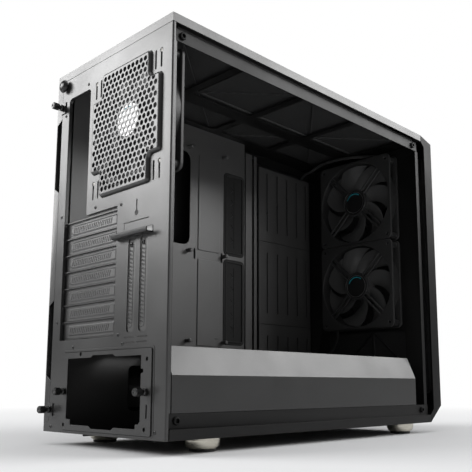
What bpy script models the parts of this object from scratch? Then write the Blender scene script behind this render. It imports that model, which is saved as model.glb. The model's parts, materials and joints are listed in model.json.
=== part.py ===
# A desktop computer tower, seen here with its left side panel taken off.
# Metres, +Z up. The front faces -Y, the rear faces +Y and the open side faces -X.
# Every piece is worked out around the middle of the body. The empty "tower_frame" then moves the whole
# tower forward by half of what the thumbscrews stand out, so that the origin is under the middle of its box.

import math

import bmesh
import bpy
from mathutils import Matrix, Vector

for thing in list(bpy.data.objects):
    bpy.data.objects.remove(thing)

mm = 0.001

# Overall sizes
case_width = 233 * mm
case_depth = 538 * mm
sheet = 1.0 * mm  # steel sheet
gap = 0.3 * mm  # between pieces that touch

# Feet
foot_height = 15 * mm
foot_pad_height = 3 * mm
foot_top_radius = 19.5 * mm
foot_bottom_radius = 15 * mm
foot_pad_inset = 0.8 * mm
foot_side_inset = 25.5 * mm
foot_rear_inset = 71 * mm
foot_front_inset = 78 * mm

# Folds along the open side, the same on both sides
side_inset = 5.5 * mm  # side flanges stand this far inside the outer width
floor_rail_height = 11 * mm
floor_flange_height = 15 * mm
top_flange_height = 14.5 * mm
lip_depth = 4.5 * mm  # folded edge of the rear panel
rear_post_depth = 6 * mm

# Top panel and its filter
top_panel_height = 10 * mm
top_wall = 1.5 * mm
top_air_gap = 3 * mm  # between the top frame's sheet and the top panel's skirt
top_edge = 14 * mm  # from the side flange to the first opening of the top frame
top_front_margin = 32 * mm
top_rear_margin = 10 * mm
top_strap = 12 * mm
top_opening_width = 100 * mm
top_vent_side_margin = 36 * mm
top_vent_end_margin = 50 * mm
filter_thickness = 3 * mm
filter_skin = 0.8 * mm
filter_edge = 5 * mm
rib_width = 2.6 * mm

# Front panel
cover_depth = 22 * mm  # at its side edges
cover_overlap = 31 * mm  # at its top and bottom edges
cover_corner = 8 * mm  # its side edges step back by a bevel of this height at top and bottom
cover_wall = 2.5 * mm
cover_top_drop = 7.7 * mm
cover_bottom_rise = 24 * mm
cover_side_margin = 19 * mm
cover_opening_bottom = 48 * mm
cover_opening_top = 34 * mm
mesh_thickness = 2.2 * mm
mesh_rib_depth = 4.5 * mm
control_length = 130 * mm
control_width = 17 * mm
control_depth = 8 * mm
power_radius = 6.5 * mm
power_travel = 1.5 * mm

# Front frame and fans
front_frame_setback = 32.5 * mm
front_flange_depth = 8 * mm
fan_size = 140 * mm
fan_depth = 25 * mm
fan_corner = 8 * mm
fan_flange = 4 * mm
fan_bore_margin = 3 * mm
fan_hole_inset = 7.75 * mm
fan_hole_radius = 2.4 * mm
fan_hub_radius = 22.5 * mm
fan_strut_width = 4 * mm
fan_strut_depth = 3.6 * mm
fan_blades = 7
fan_blade_thickness = 1.6 * mm
fan_tip_clearance = 1.4 * mm
front_fan_shift = -4.5 * mm
front_fan_top_margin = 11 * mm
rear_fan_top_margin = 14 * mm
rear_fan_setback = 1.3 * mm
smaller_fan_step = 9.75 * mm  # from this fan's screw holes in to those of the next smaller fan
fan_slot_width = 4.4 * mm
fan_slot_length = 22 * mm

# Motherboard tray
cable_space = 27.5 * mm  # from the tray's face to the outer width
board_rear_column = 41.7 * mm  # from the rear face to the first column of standoffs
board_columns = (0 * mm, 157.5 * mm, 227.3 * mm)
board_rows = (0 * mm, 129.5 * mm, 284.5 * mm)
board_above_shroud = 22 * mm
board_headroom = 48.5 * mm  # from the top row of standoffs up to the top panel's face
standoff_height = 10 * mm
standoff_radius = 3 * mm
tray_front_setback = 223 * mm
grommet_length = 124 * mm
grommet_width = 37.5 * mm
grommet_lip = 3 * mm
grommet_wall = 2.5 * mm
grommet_pitch = 136 * mm
grommet_edge = 4.5 * mm
cover_plate_width = 42.5 * mm
bar_depth = 15 * mm
drive_cover_pitch = 137 * mm
drive_cover_first = 58 * mm  # from the shroud up to the first seam
drive_slot_margin = 18 * mm
drive_slot_end = 8 * mm
drive_slot_count = 5
drive_slot_width = 2.6 * mm
drive_wall_rear = 51 * mm  # ahead of the tray
drive_wall_drop = 20 * mm  # below the top frame
drive_wall_depth = 17 * mm  # the drive covers stand this far behind the tray's face

# Power supply shroud
shroud_height = 95 * mm  # its top above the floor pan's underside
shroud_bevel_height = 30.4 * mm
shroud_bevel_width = 13 * mm
shroud_front_setback = 63 * mm
shroud_rear_gap = 11.5 * mm

# Rear panel openings
io_width = 48.2 * mm
io_height = 159 * mm
io_corner = 4 * mm  # bevel of its two upper corners
slot_count = 7
slot_pitch = 20.32 * mm
slot_rail = 1.6 * mm
slot_edge = 1.9 * mm
slot_vents = 3
slot_width = 112 * mm
upright_slot_width = 12.8 * mm
upright_slot_height = 102 * mm
upright_slot_pitch = 21.3 * mm
upright_slot_gap = 23 * mm
upright_slot_rise = 3 * mm
clamp_length = 64 * mm
clamp_height = 7 * mm
clamp_depth = 8 * mm
clamp_lip = 4 * mm
grille_rise = 4 * mm  # the grille stands this far proud of the rear face
grille_drop = 8.5 * mm  # the cross sits this far below the fan's middle
grille_corner = 5 * mm
grille_border = 4 * mm
grille_hole_radius = 12 * mm
grille_hole_pitch = 29 * mm
supply_width = 141 * mm  # opening of the power supply bracket
supply_height = 75 * mm
bracket_left = 17.6 * mm
bracket_right = 10.5 * mm
bracket_low = 6.3 * mm
bracket_high = 7 * mm
bracket_thickness = 1.5 * mm
border_rise = 0.5 * mm  # the pressed border round the bracket
supply_overlap = 3 * mm  # the rear panel's opening is larger than the bracket's by this
thumb_reach = 16 * mm  # how far the side thumbscrews stand out of the rear face
thumb_head_radius = 4.3 * mm
thumb_shank_radius = 1.9 * mm
thumb_neck_radius = 2.8 * mm
thumb_collar_radius = 4.1 * mm
thumb_collar_length = 4.5 * mm
thumb_head_length = 8.5 * mm
thumb_drop = 36 * mm  # upper side thumbscrew below the top panel's skirt
thumb_rise = 26 * mm  # lower side thumbscrew above the floor pan's underside
thumb_tip = 0.7 * mm  # how far the backed-out shank sits in its sheet
tab_width = 9 * mm
tab_height = 15 * mm
hem_width = 4 * mm
hem_margin = 5 * mm
finger_depth = 7 * mm
finger_length = 98 * mm
finger_taper = 7 * mm
finger_wall = 1 * mm  # what is left of the skin outside a finger recess
finger_low_clear = 26.5 * mm  # from the lower thumbscrew's tab up to its finger recess
finger_high_clear = 5.5 * mm  # from the upper thumbscrew's tab down to its finger recess
release_radius = 8.3 * mm
release_stem = 3 * mm
release_side = 19.5 * mm
release_drop = 18.5 * mm
release_lift = 3 * mm  # its head stands off the rear face by this
release_head = 4.5 * mm

# Bottom filter
bottom_filter_width = 136 * mm
bottom_filter_drop = 1.1 * mm
bottom_filter_thickness = 2.6 * mm

# Worked out from the sizes above
half_width = case_width / 2
rear_y = case_depth / 2
front_y = -case_depth / 2
base_z = foot_height
body_height = shroud_height + board_above_shroud + board_rows[-1] + board_headroom
top_z = base_z + body_height
skirt_z = top_z - top_panel_height
flange_x = half_width - side_inset
sheet_top_z = skirt_z - top_air_gap
sheet_low_z = sheet_top_z - sheet
top_flange_z = sheet_top_z - top_flange_height
floor_ledge_z = base_z + floor_rail_height
floor_flange_z = floor_ledge_z + floor_flange_height
cover_rear_y = front_y + cover_overlap
frame_front_y = front_y + front_frame_setback
frame_rear_y = frame_front_y + sheet
lip_y = rear_y - lip_depth
seat_y = lip_y - sheet / 2  # inner face of the blocks and the step behind the rear panel
tray_x = half_width - cable_space
tray_front_y = front_y + tray_front_setback
tray_rear_y = lip_y - 3 * mm
shroud_z = base_z + shroud_height
board_z = shroud_z + board_above_shroud
board_y = rear_y - board_rear_column
panel_x = half_width - 1.2 * mm  # inner face of the right side panel
lip_x = half_width - 11.5 * mm  # inner edge of the right side panel's rear lip
tab_y = rear_y + gap + sheet  # outer face of the tabs, which lie on the rear panel
front_fan_y = frame_rear_y + gap
upper_fan_z = sheet_low_z - front_fan_top_margin - fan_size / 2
lower_fan_z = upper_fan_z - fan_size - 0.5 * mm
rear_fan_z = sheet_low_z - rear_fan_top_margin - fan_size / 2
io_right_x = tray_x - 1 * mm
io_left_x = io_right_x - io_width
rear_fan_x = (io_left_x - flange_x) / 2
rear_fan_y = rear_y - rear_fan_setback - fan_depth
slots_z = board_z - 10 * mm
slots_top_z = slots_z + slot_count * slot_pitch + 3.8 * mm
slots_left_x = io_right_x - slot_width
supply_x = -6.5 * mm
supply_z = base_z + 47.5 * mm
fan_hole_reach = fan_size / 2 - fan_hole_inset
thumb_x = lip_x - 3.5 * mm
drive_wall_x = tray_x + drive_wall_depth
vent_rear_y = rear_y - 55 * mm
thumb_low_z = base_z + thumb_rise
thumb_high_z = skirt_z - thumb_drop

tower_frame = bpy.data.objects.new("tower_frame", None)
bpy.context.scene.collection.objects.link(tower_frame)
tower_frame.location = (0, -thumb_reach / 2, 0)


def place(axis, across, up, along):
    # Turns a point of an outline and its place along the outline's axis into a point of the tower.
    if axis == "x":
        return Vector((along, across, up))
    if axis == "y":
        return Vector((across, along, up))
    return Vector((across, up, along))


def to_mesh(shape):
    bmesh.ops.recalc_face_normals(shape, faces=shape.faces[:])
    mesh = bpy.data.meshes.new("shape")
    shape.to_mesh(mesh)
    shape.free()
    return mesh


def prism(loops, axis, low, high):
    # A plate from low to high along the axis. The first loop is its outline and the others are holes.
    shape = bmesh.new()
    for loop in loops:
        corners = [shape.verts.new(place(axis, across, up, low)) for across, up in loop]
        for first, second in zip(corners, corners[1:] + corners[:1]):
            shape.edges.new((first, second))
    bmesh.ops.triangle_fill(shape, edges=shape.edges[:], use_beauty=True)
    made = bmesh.ops.extrude_face_region(shape, geom=shape.faces[:])
    moved = [item for item in made["geom"] if isinstance(item, bmesh.types.BMVert)]
    bmesh.ops.translate(shape, verts=moved, vec=place(axis, 0, 0, high - low))
    return to_mesh(shape)


def block(low, high):
    return prism([rectangle(low[0], low[1], high[0], high[1])], "z", low[2], high[2])


def turned(profile, axis, centre, steps, phase=0.0):
    # Turns a closed profile of (radius, place along the axis) pairs about the axis.
    shape = bmesh.new()
    rings = []
    for radius, along in profile:
        count = steps if radius > 0 else 1
        ring = []
        for step in range(count):
            angle = phase + 2 * math.pi * step / steps
            point = place(axis, radius * math.cos(angle), radius * math.sin(angle), along)
            ring.append(shape.verts.new(Vector(centre) + point))
        rings.append(ring)
    for ring, following in zip(rings, rings[1:] + rings[:1]):
        if len(ring) == 1 and len(following) == 1:
            continue
        for step in range(steps):
            corners = []
            for vert in (
                ring[step % len(ring)],
                ring[(step + 1) % steps % len(ring)],
                following[(step + 1) % steps % len(following)],
                following[step % len(following)],
            ):
                if vert not in corners:
                    corners.append(vert)
            shape.faces.new(corners)
    return to_mesh(shape)


def boolean(base, others, operation):
    # Joins or cuts solids one after another and returns the mesh that results.
    holder = bpy.data.objects.new("base", base)
    bpy.context.scene.collection.objects.link(holder)
    helpers = []
    for other in others:
        helper = bpy.data.objects.new("helper", other)
        bpy.context.scene.collection.objects.link(helper)
        helpers.append(helper)
        modifier = holder.modifiers.new("join", "BOOLEAN")
        modifier.operation = operation
        modifier.solver = "EXACT"
        modifier.object = helper
    graph = bpy.context.evaluated_depsgraph_get()
    result = bpy.data.meshes.new_from_object(holder.evaluated_get(graph))
    for thing in [holder] + helpers:
        bpy.data.objects.remove(thing)
    shape = bmesh.new()
    shape.from_mesh(result)
    bmesh.ops.remove_doubles(shape, verts=shape.verts[:], dist=0.000002)
    bmesh.ops.dissolve_degenerate(shape, edges=shape.edges[:], dist=0.000002)
    shape.to_mesh(result)
    shape.free()
    return result


def union(first, *others):
    return boolean(first, others, "UNION")


def cut(first, *others):
    return boolean(first, others, "DIFFERENCE")


def merged(meshes):
    # Puts solids that don't touch each other into one mesh, to join or cut with in one go.
    shape = bmesh.new()
    for mesh in meshes:
        shape.from_mesh(mesh)
    result = bpy.data.meshes.new("shape")
    shape.to_mesh(result)
    shape.free()
    return result


def rectangle(left, low, right, high):
    return [(left, low), (right, low), (right, high), (left, high)]


def rounded(loop, radius, steps=3):
    # Rounds each corner of a loop with an arc of the radius. It works for inner corners too.
    smooth = []
    count = len(loop)
    for index in range(count):
        before = Vector(loop[index - 1])
        corner = Vector(loop[index])
        after = Vector(loop[(index + 1) % count])
        to_before = (before - corner).normalized()
        to_after = (after - corner).normalized()
        half = to_before.angle(to_after) / 2
        reach = radius / math.tan(half)
        middle = corner + (to_before + to_after).normalized() * radius / math.sin(half)
        start = corner + to_before * reach - middle
        turn = start.angle_signed(corner + to_after * reach - middle)
        for step in range(steps + 1):
            spoke = start.copy()
            spoke.rotate(Matrix.Rotation(-turn * step / steps, 2))
            smooth.append(tuple(middle + spoke))
    return smooth


def circle(across, up, radius, steps=24):
    return [
        (
            across + radius * math.cos(2 * math.pi * step / steps),
            up + radius * math.sin(2 * math.pi * step / steps),
        )
        for step in range(steps)
    ]


def stadium(left, low, right, high, steps=2):
    # A slot with round ends along its longer side.
    radius = min(right - left, high - low) / 2 * 0.999
    return rounded(rectangle(left, low, right, high), radius, steps)


def offset(loop, distance):
    # Moves each side of a loop outwards by the distance, or inwards where it is negative.
    count = len(loop)
    area = 0
    for index in range(count):
        across, up = loop[index]
        next_across, next_up = loop[(index + 1) % count]
        area += across * next_up - next_across * up
    sign = 1 if area > 0 else -1
    moved = []
    for index in range(count):
        corner = Vector(loop[index])
        first = (corner - Vector(loop[index - 1])).normalized()
        second = (Vector(loop[(index + 1) % count]) - corner).normalized()
        first_out = Vector((first.y, -first.x)) * sign
        second_out = Vector((second.y, -second.x)) * sign
        mitre = first_out + second_out
        moved.append(tuple(corner + mitre * distance / (1 + first_out.dot(second_out))))
    return moved


def folded(path, thickness):
    # The outline of a sheet folded along an open path. The thickness lies to the left of the path.
    inner = []
    for index, point in enumerate(path):
        point = Vector(point)
        sides = []
        if index > 0:
            run = (point - Vector(path[index - 1])).normalized()
            sides.append(Vector((-run.y, run.x)))
        if index < len(path) - 1:
            run = (Vector(path[index + 1]) - point).normalized()
            sides.append(Vector((-run.y, run.x)))
        mitre = sides[0] + sides[-1]
        inner.append(tuple(point + mitre * thickness / (1 + sides[0].dot(sides[-1]))))
    return list(path) + inner[::-1]


def mirrored(loop):
    return [(-across, up) for across, up in reversed(loop)]


def bar(start, end, width, axis, low, high):
    # A straight rib between two points of a plane, square at its ends.
    start = Vector(start)
    end = Vector(end)
    side = (end - start).normalized().orthogonal() * width / 2
    outline = [tuple(start + side), tuple(end + side), tuple(end - side), tuple(start - side)]
    return prism([outline], axis, low, high)


def truss_holes(left, low, right, high, columns, rows):
    # The openings of a triangulated rib frame: each cell is halved, and the diagonals meet at every other node.
    width = (right - left) / columns
    height = (high - low) / rows
    holes = []
    for column in range(columns):
        for row in range(rows):
            start = left + column * width
            foot = low + row * height
            corners = rectangle(start, foot, start + width, foot + height)
            shift = (column + row) % 2
            for first in (shift, shift + 2):
                triangle = [corners[first % 4], corners[(first + 1) % 4], corners[(first + 2) % 4]]
                holes.append(offset(triangle, -rib_width / 2))
    return holes


def finish(name, colour, roughness, metallic):
    material = bpy.data.materials.new(name)
    material.use_nodes = True
    shader = material.node_tree.nodes["Principled BSDF"]
    shader.inputs["Base Color"].default_value = (*colour, 1.0)
    shader.inputs["Roughness"].default_value = roughness
    shader.inputs["Metallic"].default_value = metallic
    return material


def node(name, mesh, look, origin=(0, 0, 0), smooth=False):
    # Gives a mesh its own object, with its origin where the piece turns or slides, and its own material.
    mesh.name = name
    mesh.transform(Matrix.Translation(-Vector(origin)))
    mesh.materials.clear()
    mesh.materials.append(finish(name + "_finish", *look))
    if smooth:
        mesh.shade_smooth()
        mesh.set_sharp_from_angle(angle=math.radians(35))
    piece = bpy.data.objects.new(name, mesh)
    bpy.context.scene.collection.objects.link(piece)
    piece.location = origin
    piece.parent = tower_frame
    return piece


powder_black = ((0.045, 0.045, 0.048), 0.5, 0.3)
powder_grey = ((0.09, 0.09, 0.095), 0.5, 0.3)
moulded_black = ((0.02, 0.02, 0.022), 0.55, 0.0)
rubber_black = ((0.015, 0.015, 0.015), 0.8, 0.0)
bright_nickel = ((0.72, 0.69, 0.62), 0.3, 1.0)
dark_screw = ((0.06, 0.06, 0.06), 0.35, 0.8)
fan_black = ((0.03, 0.03, 0.033), 0.45, 0.0)


# Rear panel and what fits its openings


def rear_outline():
    # The rear panel, with room on its right for the side panel's lip.
    right = lip_x - gap
    ledge = floor_ledge_z + 2 * gap
    top = skirt_z - gap
    return [
        (-half_width, base_z),
        (half_width, base_z),
        (half_width, ledge),
        (right, ledge),
        (right, top),
        (-half_width, top),
    ]


def slots_outline():
    # The connector opening and the card slots make one L-shaped hole.
    high = slots_top_z + io_height
    return [
        (slots_left_x, slots_z),
        (io_right_x, slots_z),
        (io_right_x, high - io_corner),
        (io_right_x - io_corner, high),
        (io_left_x + io_corner, high),
        (io_left_x, high - io_corner),
        (io_left_x, slots_top_z),
        (slots_left_x, slots_top_z),
    ]


def grille_outline():
    # A cross: a wide band across the fan and a narrower, taller one.
    wide = (fan_size - 9 * mm) / 2
    narrow = (fan_size - 47 * mm) / 2
    tall = (fan_size + 11 * mm) / 2
    short = (fan_size - 50 * mm) / 2
    corners = [(narrow, -tall), (narrow, -short), (wide, -short)]
    corners += [(across, -up) for across, up in corners[::-1]]
    corners += [(-across, up) for across, up in corners[::-1]]
    middle = rear_fan_z - grille_drop
    return [(rear_fan_x + across, middle + up) for across, up in corners]


def fan_slots():
    # Upright slots for the fan's screws: the outer pair for this fan, the inner pair for the next smaller.
    loops = []
    for reach in (fan_hole_reach, fan_hole_reach - smaller_fan_step):
        for across in (rear_fan_x - reach, rear_fan_x + reach):
            for up in (rear_fan_z - fan_hole_reach, rear_fan_z + fan_hole_reach):
                left = across - fan_slot_width / 2
                high = up + fan_slot_width / 2
                loops.append(stadium(left, high - fan_slot_length, left + fan_slot_width, high))
    return loops


def upright_slots(margin):
    loops = []
    for index in range(2):
        right = slots_left_x - upright_slot_gap - index * upright_slot_pitch
        low = slots_z + upright_slot_rise
        left = right - upright_slot_width
        shape = rectangle(left - margin, low - margin, right + margin, low + upright_slot_height + margin)
        loops.append(rounded(shape, 4 * mm + margin))
    return loops


def supply_hole(left, low, right, high):
    # The power supply's opening, each side moved outwards by the margin given for it.
    return rectangle(
        supply_x - supply_width / 2 - left,
        supply_z - supply_height / 2 - low,
        supply_x + supply_width / 2 + right,
        supply_z + supply_height / 2 + high,
    )


def rear_panel():
    outline = rear_outline()
    holes = [slots_outline(), rounded(grille_outline(), grille_corner)]
    holes += fan_slots()
    holes += upright_slots(0)
    holes.append(supply_hole(supply_overlap, supply_overlap, supply_overlap, supply_overlap))
    face = prism([outline] + holes, "y", rear_y - sheet, rear_y)
    overlap = rear_y - sheet / 2
    rim = prism([outline, offset(outline, -sheet)], "y", lip_y, overlap)
    slot_rim = prism([offset(slots_outline(), sheet), slots_outline()], "y", lip_y, overlap)
    step_path = [(-half_width, rear_y - sheet / 2), (-half_width, seat_y)]
    step_path += [(-flange_x, seat_y), (-flange_x, lip_y - rear_post_depth)]
    step = prism([folded(step_path, sheet)], "z", floor_flange_z + gap, top_flange_z - gap)
    border = prism(
        [
            supply_hole(bracket_left + 3 * mm, bracket_low + 2 * mm, bracket_right + 3 * mm, bracket_high + 3 * mm),
            supply_hole(bracket_left + gap, bracket_low + gap, bracket_right + gap, bracket_high + gap),
        ],
        "y",
        overlap,
        rear_y + border_rise,
    )
    rails = []
    for index in range(1, slot_count + 1):
        middle = slots_z + slot_edge + index * slot_pitch - slot_rail / 2
        rails.append(
            block(
                (slots_left_x - sheet / 2, lip_y, middle - slot_rail / 2),
                (io_right_x + sheet / 2, lip_y + sheet, middle + slot_rail / 2),
            )
        )
    mesh = union(face, rim, slot_rim, step, border, merged(rails))
    stem_hole = circle(half_width - release_side, top_z - release_drop, release_stem + gap, 16)
    mesh = cut(mesh, prism([stem_hole], "y", lip_y, rear_y + sheet))
    node("rear_panel", mesh, powder_grey)


def rear_fan_grille():
    outline = rounded(offset(grille_outline(), -gap), grille_corner - gap)
    inner = rounded(offset(grille_outline(), -gap - sheet), grille_corner - gap - sheet)
    high = rear_y + grille_rise
    wall = prism([outline, inner], "y", rear_y - sheet, high)
    holes = []
    reach = grille_hole_radius + grille_border
    rows = int(fan_size / grille_hole_pitch)
    for row in range(-rows, rows + 1):
        up = rear_fan_z - grille_drop + row * grille_hole_pitch * math.sqrt(0.75)
        for column in range(-rows, rows + 1):
            across = rear_fan_x + (column + row % 2 / 2) * grille_hole_pitch
            if within(across, up, offset(grille_outline(), -reach)):
                holes.append(circle(across, up, grille_hole_radius, 6))
    plate = prism([offset(grille_outline(), -gap - sheet / 2)] + holes, "y", high - sheet * 0.7, high)
    node("rear_fan_grille", union(wall, plate), powder_black)


def within(across, up, loop):
    # Whether a point lies inside a loop: a line from it crosses the loop an odd number of times.
    inside = False
    for (first_across, first_up), (across_next, up_next) in zip(loop, loop[1:] + loop[:1]):
        if (first_up > up) != (up_next > up):
            if across < first_across + (up - first_up) * (across_next - first_across) / (up_next - first_up):
                inside = not inside
    return inside


def slot_covers():
    # Each cover is a vented plate behind its slot, bent inwards at the end that its screw holds.
    for index in range(slot_count):
        low = slots_z + slot_edge + index * slot_pitch - slot_rail / 2 + gap
        high = low + slot_pitch - 2 * gap
        left = slots_left_x - 2 * mm
        right = io_right_x + sheet - gap
        vents = []
        for vent in range(slot_vents):
            start = slots_left_x + 14 * mm + vent * 29 * mm
            lean = 5 * mm
            foot = low + 5 * mm
            head = high - 5 * mm
            vents.append([(start, foot), (start + 18 * mm, foot), (start + 18 * mm + lean, head), (start + lean, head)])
        high_y = lip_y - gap
        plate = prism([rectangle(left, low, right, high)] + vents, "y", high_y - sheet, high_y)
        tab = block((left, high_y - 11 * mm, low + 2 * mm), (left + sheet, high_y - sheet / 2, high - 2 * mm))
        node(f"slot_cover_{index + 1}", union(plate, tab), powder_black)


def upright_slot_covers():
    for index, loop in enumerate(upright_slots(1.5 * mm)):
        low, high = min(up for _, up in loop), max(up for _, up in loop)
        left = min(across for across, _ in loop)
        vents = []
        count = 3
        pitch = (high - low - 16 * mm) / count
        for vent in range(count):
            foot = low + 10 * mm + vent * pitch
            vents.append(stadium(left + 5.5 * mm, foot, left + 10.5 * mm, foot + pitch - 5 * mm))
        high_y = rear_y - sheet - gap
        mesh = prism([loop] + vents, "y", high_y - sheet, high_y)
        node(f"upright_slot_cover_{index + 1}", mesh, powder_black)


def slot_clamp():
    # A folded bar over the heads of the upright slots.
    right = slots_left_x - 1.5 * mm
    left = right - clamp_length
    low = slots_z + upright_slot_rise + upright_slot_height + 1.5 * mm
    path = [(rear_y + gap, low + clamp_height), (rear_y + gap, low)]
    path += [(rear_y + clamp_depth, low), (rear_y + clamp_depth, low + clamp_lip)]
    mesh = prism([folded(path, sheet)], "x", left, right)
    node("slot_clamp", mesh, moulded_black)


def supply_bracket():
    # The plate that the power supply is screwed to. It draws out to the rear with it.
    outline = supply_hole(bracket_left, bracket_low, bracket_right, bracket_high)
    left = supply_x - supply_width / 2
    right = supply_x + supply_width / 2
    low = supply_z - supply_height / 2
    high = supply_z + supply_height / 2
    bulge = 24 * mm
    opening = [(left, low + 5 * mm), (left + 8 * mm, low + 5 * mm), (left + 8 * mm, low)]
    opening += [(supply_x - bulge, low), (supply_x - bulge + 4 * mm, low - 2.5 * mm)]
    opening += [(supply_x + bulge - 4 * mm, low - 2.5 * mm), (supply_x + bulge, low)]
    opening += [(right - 7 * mm, low), (right - 7 * mm, low + 6 * mm), (right, low + 6 * mm), (right, high)]
    opening += [(supply_x + bulge, high), (supply_x + bulge - 4 * mm, high + 2.5 * mm)]
    opening += [(supply_x - bulge + 4 * mm, high + 2.5 * mm), (supply_x - bulge, high), (left, high)]
    holes = [opening]
    for across, up in supply_screws():
        holes.append(circle(across, up, thumb_shank_radius + gap, 16))
    low_y = rear_y + gap
    mesh = prism([outline] + holes, "y", low_y, low_y + bracket_thickness)
    node("supply_bracket", mesh, powder_grey)
    for side, (across, up) in zip(("left", "right"), supply_screws()):
        reach = thumb_reach - bracket_thickness - gap
        thumbscrew(f"supply_thumbscrew_{side}", across, up, low_y + bracket_thickness, reach)


def supply_screws():
    # Left and right as seen from the front, so that left is the open side.
    left = supply_x - supply_width / 2 - bracket_left / 2
    right = supply_x + supply_width / 2 + bracket_right / 2
    return [(left, supply_z), (right, supply_z)]


def thumbscrew(name, across, up, seat_y, reach):
    # A knurled head on a shank that is backed out of its thread. The collar behind the sheet keeps it captive.
    head_y = seat_y + reach - thumb_head_length
    tip_y = seat_y - thumb_tip
    profile = [(0, tip_y), (thumb_shank_radius, tip_y), (thumb_shank_radius, seat_y + gap)]
    profile += [(thumb_collar_radius, seat_y + gap), (thumb_collar_radius, seat_y + thumb_collar_length)]
    profile += [(thumb_neck_radius, seat_y + thumb_collar_length), (thumb_neck_radius, head_y)]
    profile += [(thumb_head_radius * 0.85, head_y), (thumb_head_radius, head_y + 1 * mm)]
    profile += [(thumb_head_radius, seat_y + reach - 1 * mm), (thumb_head_radius * 0.8, seat_y + reach)]
    profile.append((0, seat_y + reach))
    mesh = turned(profile, "y", (across, 0, up), 14)
    node(name, mesh, dark_screw, (across, seat_y, up), smooth=True)


def release_button():
    # A domed head on a stem through the rear panel. Pushed in, it lets the top panel go.
    centre = (half_width - release_side, 0, top_z - release_drop)
    foot_y = rear_y + release_lift
    collar_y = rear_y - sheet - gap
    profile = [(0, collar_y - sheet), (release_stem + 0.8 * mm, collar_y - sheet)]
    profile += [(release_stem + 0.8 * mm, collar_y), (release_stem, collar_y), (release_stem, foot_y)]
    profile.append((release_radius, foot_y))
    steps = 5
    for step in range(steps):
        angle = math.radians(10 + 80 * step / steps)
        profile.append((release_radius * math.cos(angle), foot_y + release_head * math.sin(angle) + 1 * mm))
    profile.append((0, foot_y + release_head + 1 * mm))
    mesh = turned(profile, "y", centre, 20)
    node("release_button", mesh, moulded_black, (centre[0], rear_y, centre[2]), smooth=True)


def right_side_panel():
    # The closed side: a skin with a rear lip, two thumbscrew tabs and two finger recesses.
    low = floor_ledge_z + 2 * gap
    high = skirt_z - gap
    front = cover_rear_y + 2 * gap
    skin = block((panel_x, front, low), (half_width, rear_y, high))
    lip = [(lip_x, low), (half_width, low), (half_width, high), (lip_x, high)]
    lip_mesh = prism([lip], "y", rear_y - sheet, rear_y)
    tabs = []
    holes = []
    notches = []
    for middle, side, clear in ((thumb_low_z, 1, finger_low_clear), (thumb_high_z, -1, finger_high_clear)):
        left = lip_x - tab_width
        tab = rectangle(left, middle - tab_height / 2, lip_x + sheet, middle + tab_height / 2)
        tabs.append(prism([tab], "y", tab_y - sheet, tab_y))
        riser = rectangle(lip_x, middle - tab_height / 2, lip_x + sheet, middle + tab_height / 2)
        tabs.append(prism([riser], "y", rear_y - sheet / 2, tab_y - sheet / 2))
        hole = circle(thumb_x, middle, thumb_shank_radius + gap, 12)
        holes.append(prism([hole], "y", rear_y - 3 * sheet, rear_y + 2 * sheet))
        start = middle + side * (tab_height / 2 + clear)
        end = start + side * finger_length
        past = half_width - finger_wall
        notch = [(lip_x - sheet, start), (past, start + side * finger_taper)]
        notch += [(past, end - side * finger_taper), (lip_x - sheet, end)]
        notches.append(prism([notch], "y", rear_y - finger_depth, rear_y + 2 * sheet))
    hem_low = low + hem_margin
    hem = block((panel_x - hem_width, front, hem_low), (half_width - sheet / 2, front + sheet, high - hem_margin))
    mesh = union(skin, lip_mesh, *tabs, hem)
    mesh = cut(mesh, merged(holes), merged(notches))
    node("right_side_panel", mesh, powder_grey)
    for side, middle in (("lower", thumb_low_z), ("upper", thumb_high_z)):
        thumbscrew(f"side_thumbscrew_{side}", thumb_x, middle, tab_y, rear_y + thumb_reach - tab_y)


# Floor pan, top frame and front frame


def floor_pan():
    half = [(-flange_x, floor_flange_z), (-flange_x, floor_ledge_z), (-half_width, floor_ledge_z)]
    half.append((-half_width, base_z))
    profile = folded(half + mirrored(half), sheet)
    low_y = cover_rear_y + gap
    pan = prism([profile], "y", low_y, seat_y - gap)
    runners = []
    for side in (-1, 1):
        web = side * (bottom_filter_width / 2 + gap)
        foot_z = base_z - bottom_filter_drop - bottom_filter_thickness - gap
        corners = [(web, base_z + sheet / 2), (web, foot_z), (web - side * 3 * mm, foot_z)]
        corners += [(web - side * 3 * mm, foot_z - sheet), (web + side * sheet, foot_z - sheet)]
        corners.append((web + side * sheet, base_z + sheet / 2))
        runners.append(prism([corners], "y", low_y + 4 * mm, vent_rear_y + 30 * mm))
    holes = []
    for low, high in floor_vents():
        half_vent = bottom_filter_width / 2 - 8 * mm
        vent = rounded(rectangle(-half_vent, low, half_vent, high), 8 * mm)
        holes.append(prism([vent], "z", base_z - sheet, base_z + 2 * sheet))
    mesh = cut(union(pan, merged(runners)), merged(holes))
    node("floor_pan", mesh, powder_black)


def floor_vents():
    # One intake under the power supply and one further forward, as (front, rear) pairs.
    middle = vent_rear_y - 150 * mm
    return [(middle, vent_rear_y), (middle - 130 * mm, middle - 20 * mm)]


def bottom_filter():
    # A ribbed filter that draws out forwards on the floor pan's runners.
    high = base_z - bottom_filter_drop
    low = high - bottom_filter_thickness
    front = cover_rear_y - 6 * mm
    rear = vent_rear_y + 20 * mm
    half = bottom_filter_width / 2
    plate = prism([rectangle(-half, front, half, rear)], "z", high - filter_skin, high)
    edge = 6 * mm
    frame = [rectangle(-half, front, half, rear), rectangle(-half + edge, front + 2 * edge, half - edge, rear - edge)]
    border = prism(frame, "z", low, high - filter_skin / 2)
    ribs = []
    for index in range(1, 5):
        middle = front + (rear - front) * index / 5
        ribs.append(block((-half + 2 * mm, middle - 2 * mm, low), (half - 2 * mm, middle + 2 * mm, high - filter_skin / 2)))
    node("bottom_filter", union(plate, border, merged(ribs)), moulded_black)


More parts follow.
